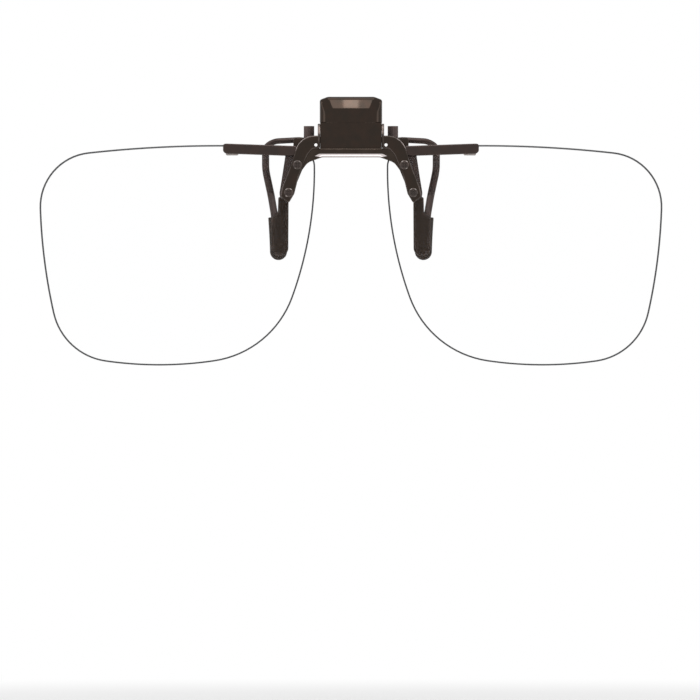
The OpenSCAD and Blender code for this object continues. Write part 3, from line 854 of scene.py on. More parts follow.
@dataclass(frozen=True)
class SoftSleeve(Finish):
    """Brown-black silicone rubber with a satin moulded skin and paler edges, partly wear
    and partly a painted highlight.

    Attributes:
        colour: colour of the rubber.
        pale: colour of the paler edges, and a little of it in clouds.
        rub: share of the paler colour along the rims.
        roughness: mean roughness.
    """

    slot: str = "sleeve_rubber"
    colour: Colour = (0.0215, 0.0135, 0.0085)
    pale: Colour = (0.06, 0.043, 0.036)
    rub: float = 0.6
    roughness: float = 0.55

    def sockets(self, nodes: NodeMaker) -> Sockets:
        """The rubber, with a fine skin in its bump.

        Args:
            nodes: the material's maker.

        Returns:
            Values and links by socket.
        """
        cloud = nodes.noise(1.1)
        skin = nodes.noise(0.09, 2.0)
        # Paler rims: partly wear and partly a painted highlight along the edges.
        edge_wear_and_highlight_share = nodes.rim() * cloud.step(0.3, 0.75) * self.rub
        base = nodes.mix(cloud.step(0.25, 0.75) * 0.08, self.colour, self.pale)
        return {
            "Base Color": nodes.mix(edge_wear_and_highlight_share, base, self.pale),
            "Roughness": self.roughness + 0.14 * (cloud - 0.5) + 0.1 * (skin - 0.5),
            "Normal": nodes.bump(skin, 0.012, 0.5),
            "Specular IOR Level": 0.14,
        }


@dataclass(frozen=True)
class ClearLens(Finish):
    """Clear polycarbonate with a faint blue coating, and an edge painted dark and nearly solid as painted
    shade.

    Attributes:
        coating: colour that the coating reflects.
        pale: colour that it reflects where it is thinner.
        edge: colour of the edge's chamfers, painted dark as shade.
        wall: colour of the edge between its chamfers, painted dark as shade.
        clear: how much the faces hide.
        sheen: how much more they hide when seen along them.
    """

    slot: str = "lens_clear"
    coating: Colour = (0.72, 0.82, 1.0)
    pale: Colour = (0.9, 0.93, 1.0)
    edge: Colour = (0.024, 0.026, 0.028)
    wall: Colour = (0.06, 0.065, 0.07)
    clear: float = 0.003
    sheen: float = 0.9

    def sockets(self, nodes: NodeMaker) -> Sockets:
        """Clear faces that mirror at a glancing view, and a nearly solid rim painted dark as shade.

        Args:
            nodes: the material's maker.

        Returns:
            Values and links by socket.
        """
        band, rim = nodes.band(), nodes.rim()
        chamfer = rim * (1 - band.step(1.1, 1.3) * (1 - band.step(1.7, 1.9)))
        grazing = nodes.add("ShaderNodeLayerWeight", inputs={"Blend": 0.5}, out=1)
        sheen = grazing.math("POWER", 5.0) * self.sheen + self.clear
        face = nodes.mix(nodes.noise(9.0, 2.0).step(0.3, 0.7), self.coating, self.pale)
        # The rim is painted dark and nearly opaque: painted shade along the lens's edge.
        edge = nodes.mix(chamfer, self.wall, self.edge)
        return {
            "Base Color": nodes.mix(rim, face, edge),
            "Metallic": 1 - rim,
            "Roughness": 0.03 + 0.3 * rim,
            "Alpha": sheen * (1 - rim) + rim * (0.72 + 0.26 * chamfer),
        }


@dataclass(frozen=True)
class Nylon(Finish):
    """Translucent nylon, moulded, as in the bushes and the pads at the arms' ends.

    Attributes:
        colour: its colour.
        alpha: how much it hides.
    """

    slot: str = "clear_nylon"
    colour: Colour = (0.36, 0.32, 0.3)
    alpha: float = 0.86

    def sockets(self, nodes: NodeMaker) -> Sockets:
        """The nylon, a little deeper in clouds.

        Args:
            nodes: the material's maker.

        Returns:
            Values and links by socket.
        """
        cloud = nodes.noise(0.7)
        return {
            "Base Color": nodes.mix(cloud.step(0.3, 0.7), tinted(self.colour, 0.86), self.colour),
            "Roughness": 0.28 + 0.12 * (cloud - 0.5),
            "Alpha": self.alpha,
            "Normal": nodes.bump(cloud, 0.01, 0.4),
        }


BRONZE = PlatedBronze("bronze")
BROWN_BRONZE = PlatedBronze("brown_bronze", colour=(0.05, 0.038, 0.034))
# Horns and ears: their rims are painted a pale highlight colour, standing in for the lamps' highlight on
# their edges.
BRONZE_WITH_PAINTED_EDGE_HIGHLIGHT = PlatedBronze("bronze_painted_edge_highlight", edge_wear_and_highlight_colour=(0.72, 0.62, 0.59), rub=1.4)
TAB_BRONZE = PlatedBronze("tab_bronze", rub=0.0, roughness=0.08, haze=0.03)
SATIN_BRONZE = PlatedBronze("satin_bronze", colour=(0.054, 0.041, 0.037), roughness=0.42, haze=0.06)
DULL_BRONZE = PlatedBronze("dull_bronze", colour=(0.115, 0.088, 0.081), roughness=0.7, haze=0.05)
# Screw heads: bright spots painted on their edges stand in for glints.
SCREW_BRONZE_WITH_PAINTED_GLINTS = PlatedBronze(
    "screw_bronze_painted_glints", "screw_metal", (0.068, 0.055, 0.049), edge_wear_and_highlight_colour=(0.4, 0.36, 0.34), rub=1.0, roughness=0.22
)
POLISHED_BAR_PAINTED_HIGHLIGHT = PolishedBarWithHighlight("bar_polish_and_painted_highlight")
PIN_STEEL = BareMetal("pin_steel", stretch=(0.12, 1.0, 1.0))
NUT_STEEL = BareMetal("nut_steel", colour=(0.3, 0.28, 0.27))
LEAF_STEEL = BareMetal("leaf_steel", colour=(0.5, 0.49, 0.48), roughness=0.22)
SPRING_STEEL = BareMetal("spring_steel", colour=(0.5, 0.49, 0.48), roughness=0.2)
DARK_BRASS = BareMetal("dark_brass", "brass", (0.2, 0.15, 0.1))
RUBBER = SoftSleeve("rubber")
CLEAR_LENS = ClearLens("clear_lens")
NYLON = Nylon("nylon")


@dataclass(frozen=True)
class Layout:
    """Places and sizes that several sub-assemblies share.

    Attributes:
        lens_in: distance from the middle to the lenses' inner sides.
        lens_top: height of the lenses' upper sides.
        lens_t: thickness of the lenses.
        curve_r: radius of the lenses' backs.
        fit_x: distance from the middle that the fittings' outlines count from.
        sheet_t: thickness of the wings and the horns.
        arm_t: thickness of the brow arms behind the lenses.
        seat: gap between pieces that touch.
        screw_r: radius of the fittings' holes for the lens screws.
        bar_back: back of the bridge bar.
        bar_d: depth of the bridge bar.
        axle_y: depth of the rear jaw's axle.
        axle_z: height of the rear jaw's axle.
        pitch: length of one curl of the spring along the axle.
        curls: whole curls of the spring.
        front_angle: where round the axle the spring's front leg ends, in degrees.
        lever_lean: how far its rear leg leans back with the lever, in degrees.
    """

    lens_in: float = 7.5
    lens_top: float = 19.05
    lens_t: float = 1.6
    curve_r: float = 220.0
    fit_x: float = 7.6
    sheet_t: float = 0.58
    arm_t: float = 0.9
    seat: float = 0.02
    screw_r: float = 0.62
    bar_back: float = -6.6
    bar_d: float = 1.2
    axle_y: float = 1.2
    axle_z: float = 20.2
    pitch: float = 0.9
    curls: int = 4
    front_angle: float = 206.0
    lever_lean: float = 28.0

    @property
    def lens_front(self) -> float:
        """Front of the lens where its screws go through it."""
        return self.bar_back - self.bar_d + self.sheet_t + 2 * self.seat

    @property
    def lens_back(self) -> float:
        """Back of the lens where its screws go through it."""
        return self.lens_front + self.lens_t

    @property
    def screws(self) -> Points:
        """Places of the right lens's two screws, (x, z)."""
        return np.array([
            [self.fit_x + 3.6, self.lens_top - 4.25],
            [self.fit_x + 5.44, self.lens_top - 10.05],
        ])

    @property
    def coil_sweep(self) -> float:
        """How far the spring winds from its front leg to its rear one, in degrees."""
        return 360 - self.lever_lean - self.front_angle + 360 * self.curls

    @property
    def coil_half(self) -> float:
        """Half the length of the spring's coil."""
        return self.pitch * self.coil_sweep / 720

    def screw_holes(self, r: float) -> list[Points]:
        """Holes of radius r at the right lens's screws."""
        return [ring(x, z, r) for x, z in self.screws]

    def ball(self, r: float) -> Surface:
        """The front of a ball of radius r about the right lens's centre of curvature.

        y = cy - sqrt(r^2 - (x - cx)^2 - (z - cz)^2), where the centre lies behind the
        middle of the screws.

        Args:
            r: the ball's radius.

        Returns:
            The surface.
        """
        cx, cz = self.screws.mean(0)
        cy = self.lens_back + self.curve_r
        return lambda x, z: cy - np.sqrt(r * r - (x - cx) ** 2 - (z - cz) ** 2)


def placed(name: str, data: bpy.types.ID) -> bpy.types.Object:
    """An object of a mesh, lamp or camera, put into the scene."""
    made = bpy.data.objects.new(name, data)
    bpy.context.scene.collection.objects.link(made)
    return made


@dataclass
class Workshop:
    """Turns shells into finished pieces.

    Attributes:
        nodes: the construction model's objects by name.
        made: materials by name.
        weld_gap: distance at which a node's loose triangles are joined.
        ease_angle: least turn of an edge that is eased, in degrees.
    """

    nodes: dict[str, bpy.types.Object]
    made: dict[str, bpy.types.Material] = field(default_factory=dict)
    weld_gap: float = 0.0005
    ease_angle: float = 38.0

    def dress(self, piece: bpy.types.Object, finish: Finish) -> None:
        """Gives a piece its material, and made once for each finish.

        Args:
            piece: the piece.
            finish: its finish.
        """
        if finish.name not in self.made:
            self.made[finish.name] = finish.material()
        piece.data.materials.clear()
        piece.data.materials.append(self.made[finish.name])

    def piece(
        self, name: str, shell: Shell, finish: Finish, body: Body | None, node: str
    ) -> bpy.types.Object:
        """Makes a piece that stands for a node of the construction model.

        Args:
            name: the piece's name.
            shell: its faces.
            finish: its finish.
            body: the body that it rides on, or none.
            node: the node that it stands for.

        Returns:
            The piece.
        """
        made = placed(name, shell.mesh(name))
        if body is not None:
            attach(made, body.value)
        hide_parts(node)
        self.dress(made, finish)
        log.info("%s: %d faces, for %s", name, len(made.data.polygons), node)
        return made

    def pair(self, name: str, shell: Shell, finish: Finish, body: Body, node: str) -> None:
        """Makes a piece on each side, for the node of that side.

        Args:
            name: the pieces' name without its side.
            shell: faces of the right one.
            finish: their finish.
            body: the body that they ride on.
            node: the nodes' name without its side.
        """
        for side in Side:
            self.piece(f"{name}_{side.word}", shell.on(side), finish, body, f"{side.word}_{node}")

    def keep(self, node: str, finish: Finish, ease: float = 0.0) -> None:
        """Dresses a node of the construction model, and eases its hard edges.

        Args:
            node: the node's name.
            finish: its finish.
            ease: width of the bevel along hard edges.
        """
        made = self.nodes[node]
        self.dress(made, finish)
        if ease > 0:
            weld = made.modifiers.new("weld", "WELD")
            weld.merge_threshold = self.weld_gap * MM
            bevel = made.modifiers.new("ease", "BEVEL")
            bevel.width = ease * MM
            bevel.segments = 2
            bevel.limit_method = "ANGLE"
            bevel.angle_limit = math.radians(self.ease_angle)
            bevel.use_clamp_overlap = True
            made.modifiers.new("normals", "WEIGHTED_NORMAL").keep_sharp = True
        log.info("%s: kept, as %s", node, finish.name)


@dataclass
class SubAssembly:
    """Pieces that are made together.

    Attributes:
        layout: places and sizes that they share with other sub-assemblies.
        shop: what turns shells into pieces.
    """

    layout: Layout
    shop: Workshop

    def make(self) -> None:
        """Makes the pieces."""
        raise NotImplementedError


@dataclass
class LensPair(SubAssembly):
    """Both lenses and what fastens them.

    Attributes:
        width: width of a lens.
        height: height of a lens.
        chamfer: width of the chamfers along its edge.
        corners: radius, and gaps in x and z to the lens's box, of the lower inner, lower
            outer, upper outer and upper inner corner.
        sides: radii of the lower, outer, upper and inner side.
        bush_wall: wall of the bushes in the lens's holes.
        head_r: radius of a screw's head.
        head_h: height of the head.
        dome_r: radius of the head's dome.
        soft: radius of the head's edge, and width of the tip's chamfer.
        slack: gap between the shank and its holes.
        nut_h: height of a nut.
        tip: how far the shank stands out of the nut.
        cross_length: outer and inner end of the wall at the end of the recess's arms.
        cross_width: outer and inner end of the wall along the arms.
        cross_depth: depth of the recess.
        glints: where glints are painted on the head's edge, in degrees anticlockwise from +X.
        glint_width: half widths at which a painted glint ends and is full, in degrees.
        glint_r: radius from which the head counts as its edge.
    """

    width: float = 57.9
    height: float = 46.2
    chamfer: float = 0.33
    corners: tuple[tuple[float, float, float], ...] = (
        (20.7, 3.44, 0.58), (13.2, 2.47, 0.63), (11.5, 0.0, 1.43), (4.0, 0.0, 0.57)
    )
    sides: tuple[float, float, float, float] = (79.3, 118.7, 254.6, 77.6)
    bush_wall: float = 0.18
    head_r: float = 0.975
    head_h: float = 0.55
    dome_r: float = 3.2
    soft: float = 0.12
    slack: float = 0.04
    nut_h: float = 0.8
    tip: float = 0.18
    cross_length: tuple[float, float] = (0.6, 0.52)
    cross_width: tuple[float, float] = (0.15, 0.09)
    cross_depth: float = 0.26
    glints: tuple[float, float, float] = (122.0, 58.0, 302.0)
    glint_width: tuple[float, float] = (19.0, 11.0)
    glint_r: float = 0.78

    def outline(self) -> Points:
        """The right lens's outline: four corner circles joined by long arcs.

        A long arc of radius R touches circles p and q from outside, so its centre lies
        R - rp from p's centre and R - rq from q's.

        Returns:
            Points (n, 2), anticlockwise as seen from the front.
        """
        inner, top = self.layout.lens_in, self.layout.lens_top
        out, low = inner + self.width, top - self.height
        box = np.array([[inner, low], [out, low], [out, top], [inner, top]])
        inwards = np.array([[1, 1], [-1, 1], [-1, -1], [1, -1]])
        corners = np.array(self.corners)
        r, gap = corners[:, 0], corners[:, 1:]
        centre = box + inwards * r[:, None] + inwards * gap
        long_r = np.array(self.sides)
        ahead, ahead_r = np.roll(centre, -1, 0), np.roll(r, -1)
        apart = np.linalg.norm(ahead - centre, axis=1)
        u = (ahead - centre) / apart[:, None]
        ra, rb = long_r - r, long_r - ahead_r
        along = (ra**2 - rb**2 + apart**2) / (2 * apart)
        left = np.stack([-u[:, 1], u[:, 0]], -1)
        middle = centre + along[:, None] * u + np.sqrt(ra**2 - along**2)[:, None] * left
        before = np.roll(middle, 1, 0)

        def heading(p: Points, c: Points) -> Points:
            """Angle of the way from c to p."""
            return np.arctan2(p[:, 1] - c[:, 1], p[:, 0] - c[:, 0])

        a0, a1 = heading(centre, before), heading(centre, middle)
        b1 = heading(ahead, middle)
        corner = a0[:, None] + ((a1 - a0) % math.tau)[:, None] * np.linspace(0, 1, 17)
        side = a1[:, None] + ((b1 - a1) % math.tau)[:, None] * np.linspace(0, 1, 29)[1:-1]
        arcs = [
            centre[:, None] + r[:, None, None] * circle(corner),
            middle[:, None] + long_r[:, None, None] * circle(side),
        ]
        return np.concatenate(arcs, 1).reshape(-1, 2)

    def lens(self) -> Shell:
        """The right lens: a curved plate with chamfered edges and two holes."""
        at = self.layout
        holes = at.screw_holes(at.screw_r + self.bush_wall + at.seat)
        front, back = at.ball(at.curve_r + at.lens_t), at.ball(at.curve_r)
        return plate(self.outline(), front, back, holes, 1.6, self.chamfer, self.chamfer, 1)

    def screw(self) -> Shell:
        """One lens screw about the Y axis.

        The head's face is a dome, y = y0 + r^2 / 2R, cut by a cross whose arms run at 45
        degrees: its depth eases to 0 within a narrow wall all round.

        Returns:
            The closed shell.
        """
        at, soft = self.layout, self.soft
        under = at.lens_front - 2 * (at.sheet_t + at.seat) - at.seat
        top = under - self.head_h
        shank = at.screw_r - self.slack
        tip = at.lens_back + at.arm_t + self.nut_h + self.tip
        face = np.linspace(0.012, self.head_r - soft, 26)
        bend = np.radians([20, 45, 70, 90])
        edge = np.stack([
            self.head_r - soft + soft * np.sin(bend),
            top + self.head_r**2 / (2 * self.dome_r) + soft * (1 - np.cos(bend)),
        ], -1)
        shell = turned(np.concatenate([
            np.stack([face, top + face**2 / (2 * self.dome_r)], -1), edge,
            [[self.head_r, under], [shank, under], [shank, tip - soft], [shank - soft, tip]],
        ]), 72)
        x, y, z = shell.points.T
        u, v = np.abs(x + z) / math.sqrt(2), np.abs(x - z) / math.sqrt(2)
        arms = [
            smooth_step(*self.cross_length, along) * smooth_step(*self.cross_width, aside)
            for along, aside in ((u, v), (v, u))
        ]
        shell.points[:, 1] += self.cross_depth * np.maximum(*arms) * (y < under - 0.2)
        # The head's edge is tagged at the glint angles, so that its material paints glints there.
        for k, block in enumerate(shell.faces):
            x, y, z = shell.points[block].mean(1).T
            angle = np.degrees(np.arctan2(z, x))[:, None] - np.array(self.glints)
            apart = np.abs((angle + 180) % 360 - 180).min(1)
            rim = (np.hypot(x, z) > self.glint_r) & (y < under - 0.1)
            shell.tags[k] = np.where(rim, smooth_step(*self.glint_width, apart), 0.0)
        return shell

    def make(self) -> None:
        """Makes the lenses and their screws, and dresses the nuts and bushes."""
        self.shop.pair("lens", self.lens(), CLEAR_LENS, Body.LENSES, "lens")
        screws = [self.screw().moved([x, 0, z]).on(side) for side in Side for x, z in self.layout.screws]
        self.shop.piece("screws_of_lenses", Shell.joined(screws), SCREW_BRONZE_WITH_PAINTED_GLINTS, Body.LENSES, "lens_screws")
        self.shop.keep("lens_nuts", NUT_STEEL, 0.06)
        self.shop.keep("lens_bushes", NYLON)


@dataclass
class Bridge(SubAssembly):
    """The bar between the lenses, the horns that flip it, and their hinge pin.

    Attributes:
        bar_h: height of the bar.
        bar_drop: how far the bar's top lies below the lenses' top.
        roll: radius of the bar's lower front edge.
        eased: radius of its other edges.
        lap: how far the horns lap over the bar.
        flip_y: depth of the hinge pin.
        flip_z: height of the hinge pin.
        ear_in: distance from the middle to the ears.
        ear_t: thickness of the ears.
        ear_h: how far they reach above the pin.
        ear_bore: radius of their holes for the pin.
        ear_fill: how much nearer to the housing they are drawn about the pin.
        ear_near: distances from the pin at which that ends and is full.
        relief_r: radius of the hole at each ear's fold.
        relief_gap: gap between the hole and the ear.
        relief_drop: how far the hole lies below the pin.
        horn_dim: tag of the horns' rims where they don't face up and outwards, which gives them less of
            the painted highlight.
        horn_lit: direction in which the horns' rims face where they keep the full painted highlight.
        horn_spread: cosine of the widest angle to it at which they still are.
        ear_dim: tag of the ears' rims, which gives them less of the painted highlight.
    """

    bar_h: float = 1.9
    bar_drop: float = 0.75
    roll: float = 0.85
    eased: float = 0.1
    lap: float = 0.1
    flip_y: float = -4.5
    flip_z: float = 20.3
    ear_in: float = 6.56
    ear_t: float = 0.4
    ear_h: float = 3.2
    ear_bore: float = 0.505
    ear_fill: float = 0.12
    ear_near: tuple[float, float] = (3.25, 2.95)
    relief_r: float = 0.33
    relief_gap: float = 0.05
    relief_drop: float = 1.31
    horn_dim: float = 0.57
    horn_lit: tuple[float, float, float] = (0.8, 0.0, 0.6)
    horn_spread: float = 0.75
    ear_dim: float = 0.58

    def bar_outline(self) -> Points:
        """Outline of the bar and both its wings."""
        x, top = self.layout.fit_x, self.layout.lens_top
        bar_top = top - self.bar_drop
        return rounded(mirrored([
            [self.ear_in - 0.5, bar_top - self.bar_h, 1.5],
            [x + 1.45, top - 3.75, 2.5], [x + 2.6, top - 5.3, 1.5],
            [x + 4.12, top - 9, 4], [x + 4.7, top - 10.9, 0.5],
            [x + 6.1, top - 11.1, 0.5], [x + 6.35, top - 9.2, 3],
            [x + 4.9, top - 4.8, 4], [x + 3.2, bar_top, 1.5],
        ]))

    def bar(self) -> Shell:
        """The bar and its wings as one plate.

        Its back steps from the wings' sheet to the bar's full depth, and its lower front
        edge rolls back with a radius that fades out along the wings.

        Returns:
            The closed shell.
        """
        at, ear = self.layout, self.ear_in
        wing = at.curve_r + at.lens_t + at.seat
        mid = at.lens_top - self.bar_drop - self.bar_h / 2

        def front(x: Points, z: Points) -> Points:
            """Front face: the wings' ball, flat across the bar."""
            flat = smooth_step(ear + 0.5, ear - 1.0, np.abs(x))
            ball = at.ball(wing + at.sheet_t)(np.abs(x), z)
            return ball + (at.bar_back - at.bar_d - ball) * flat

        def back(x: Points, z: Points) -> Points:
            """Back face: the wings' ball, and the bar's flat back between them."""
            deep = smooth_step(ear, ear - 0.4, np.abs(x))
            ball = at.ball(wing)(np.abs(x), z)
            return ball + (at.bar_back - ball) * deep

        def edge(x: Points, z: Points) -> Points:
            """Radius of the front edge."""
            rolled = smooth_step(ear + 1.3, ear - 0.6, np.abs(x))
            full = np.where(z < mid, self.roll, 0.3)
            return self.eased + (full - self.eased) * rolled

        holes = [ring(side.value * x, z, at.screw_r) for side in Side for x, z in at.screws]
        return plate(self.bar_outline(), front, back, holes, 0.7, edge, self.eased, 6)

    def horn(self) -> Shell:
        """The right horn in front of the wing: a curved plate that narrows to its foot."""
        at, ear, up = self.layout, self.ear_in, self.flip_z + 0.65
        x, top = at.fit_x, at.lens_top
        low = top - self.bar_drop - self.lap
        r = at.curve_r + at.lens_t + at.sheet_t + 2 * at.seat
        outline = rounded([
            [ear + 0.1, low, 0], [x + 0.4, low, 0.6],
            [x + 1.5, top - 2.15, 1.5], [x + 2.65, top - 4.85, 3], [x + 3.35, top - 6.65, 4],
            [x + 4.25, top - 10.3, 0.6], [x + 5.45, top - 12.3, 0.4], [x + 7.15, top - 10.9, 0.5],
            [x + 6.85, top - 9.15, 5], [x + 5.15, top - 4.75, 8], [x + 4.0, top - 1.15, 3],
            [x + 2.87, up, 4.3], [ear + 0.1, up, 0],
        ], 14)
        relief_x = ear + self.ear_t + self.relief_gap + self.relief_r
        relief = ring(relief_x, self.flip_z - self.relief_drop, self.relief_r)
        holes = [*at.screw_holes(at.screw_r), relief]
        shell = plate(outline, at.ball(r + at.sheet_t), at.ball(r), holes, 0.8, 0.22, 0.06, 4)
        # Rims that don't face up and outwards, towards the lamps, take less of the painted highlight.
        shell.dim(self.horn_lit, self.horn_dim, self.horn_spread, top - 1.3)
        return shell

    def ear(self) -> Shell:
        """The right horn's ear, folded back at the hinge pin.

        It is drawn as a plate over (y, z) and then turned, (x, y, z) to (-y, x, z).

        Returns:
            The closed shell.
        """
        at, y, z = self.layout, self.flip_y, self.flip_z
        front, up = at.lens_front - 2 * at.sheet_t + 0.3, z + self.ear_h
        profile = rounded([
            [front, z - 1.9, 0.25], [y + 2, z - 1.9, 1.6], [y + 2.1, up - 1, 1.2],
            [y + 0.7, up, 0.6], [y - 1.3, up, 1.2], [front + 1.3, z + 0.8, 1], [front, z + 0.6, 0.2],
        ])

        def inner(y2: Points, z2: Points) -> Points:
            """Inner face, which closes on the housing near the pin and clears the tab beyond."""
            near = smooth_step(*self.ear_near, np.hypot(y2 - y, z2 - z))
            return self.ear_fill * near - self.ear_in

        outer = flat_at(-self.ear_in - self.ear_t)
        drawn = plate(profile, outer, inner, [ring(y, z, self.ear_bore)], 0.35, 0.1, 0.03)
        drawn.dim((0, 0, 1), self.ear_dim, math.inf)
        p = drawn.points
        return Shell(np.stack([-p[:, 1], p[:, 0], p[:, 2]], -1), drawn.faces, drawn.tags)

    def make(self) -> None:
        """Makes the bar and horns, and dresses the pin, washers and leaf."""
        self.shop.piece("bar_of_bridge", self.bar(), POLISHED_BAR_PAINTED_HIGHLIGHT, Body.LENSES, "bridge_bar")
        self.shop.pair("horn", Shell.joined([self.horn(), self.ear()]), BRONZE_WITH_PAINTED_EDGE_HIGHLIGHT, Body.LENSES, "horn")
        self.shop.keep("flip_pin", PIN_STEEL, 0.05)
        self.shop.keep("hinge_washers", DARK_BRASS)
        self.shop.keep("click_leaf", LEAF_STEEL, 0.04)


@dataclass
class BrowArms(SubAssembly):
    """The arms that hold each lens's top edge from its inner side.

    Attributes:
        start: where the channel starts, from fit_x.
        length: where it ends, from the lens's inner side.
        height: its height.
        rise: half of how far it rises along its length.
        lip_t: thickness of its lip in front of the lens.
        end_r: length over which it narrows to its end.
        end_lift: how far the end turns up.
        end_thin: share by which both walls thin towards the end.
        ease: radius of its long edges.
        roof: least thickness of the wall over its groove.
        groove_drop: how far the groove's top stays below lens_top at least.
    """

    start: float = 3.92
    length: float = 19.3
    height: float = 2.1
    rise: float = 0.27
    lip_t: float = 0.45
    end_r: float = 0.85
    end_lift: float = 0.12
    end_thin: float = 0.25
    ease: float = 0.2
    roof: float = 0.5
    groove_drop: float = 0.1

    def channel(self) -> Shell:
        """The bar over the lens's top edge.

        A channel profile, open below, is carried along x: its outside follows the lens's
        curve, its inside clears the lens, and its height eases along a quarter circle, by
        sqrt(1 - t^2), to a round end.

        Returns:
            The closed shell.
        """
        at, end_r = self.layout, self.end_r
        start, end = at.fit_x + self.start, at.lens_in + self.length
        round_end = end - end_r + end_r * np.sin(np.radians(np.arange(8, 88, 8)))
        x = np.concatenate([np.linspace(start, end - end_r, 22), round_end])
        share = np.clip((x - start) / (end - start), 0, 1)
        middle = at.lens_top - self.rise + 2 * self.rise * share - self.height / 2
        tip = np.clip((x - end + end_r) / end_r, 0, 1)
        half = self.height / 2 * (0.45 + 0.55 * np.sqrt(1 - tip**2))
        middle = middle + self.end_lift * tip**2
        thin = self.end_thin * tip**2
        y_front = at.ball(at.curve_r + at.lens_t + self.lip_t)(x, middle) + thin * self.lip_t
        y_back = at.ball(at.curve_r - at.arm_t)(x, middle) - thin * at.arm_t
        y_in = at.ball(at.curve_r + at.lens_t + at.seat)(x, middle)
        y_out = at.ball(at.curve_r - at.seat)(x, middle)
        turn = np.radians([0, 30, 60, 90])
        s, c = self.ease * (1 - np.sin(turn)), self.ease * (1 - np.cos(turn))
        top, low = middle + half, middle - half
        crown = np.minimum(top - self.roof, at.lens_top - self.groove_drop)
        rows = [(y_front + c[k], top - s[k]) for k in range(4)]
        rows += [(y_back - c[k], top - s[k]) for k in range(4)[::-1]]
        rows += [(y_back - c[k], low + s[k]) for k in range(4)]
        rows += [(y_out, low), (y_out, crown), (y_in, crown), (y_in, low)]
        rows += [(y_front + c[k], low + s[k]) for k in range(4)[::-1]]
        return lofted(np.stack([np.stack([x, y, z], -1) for y, z in rows], 1))

    def leg(self) -> Shell:
        """The leg behind the lens, with both screw holes."""
        at = self.layout
        x, top = at.fit_x, at.lens_top
        outline = rounded([
            [x + 2.1, top - 2.6, 2], [x + 3.6, top - 6.5, 6], [x + 4.8, top - 11.4, 0.7],
            [x + 7.2, top - 11.3, 0.7], [x + 7.4, top - 10.2, 2], [x + 6.8, top - 6.5, 12],
            [x + 6.2, top - 2.6, 0.3], [x + 6.1, top - 1.6, 0], [x + 6, top - 0.3, 0],
            [x + 2.2, top - 0.6, 0.8],
        ])
        front, back = at.ball(at.curve_r - at.seat), at.ball(at.curve_r - at.arm_t)
        return plate(outline, front, back, at.screw_holes(at.screw_r), 0.9, 0.06, 0.14)

    def make(self) -> None:
        """Makes both arms and dresses the pads at their ends."""
        shell = Shell.joined([self.channel(), self.leg()])
        self.shop.pair("arm", shell, BROWN_BRONZE, Body.LENSES, "brow_arm")
        for side in Side:
            self.shop.keep(f"{side.word}_edge_pad", NYLON)


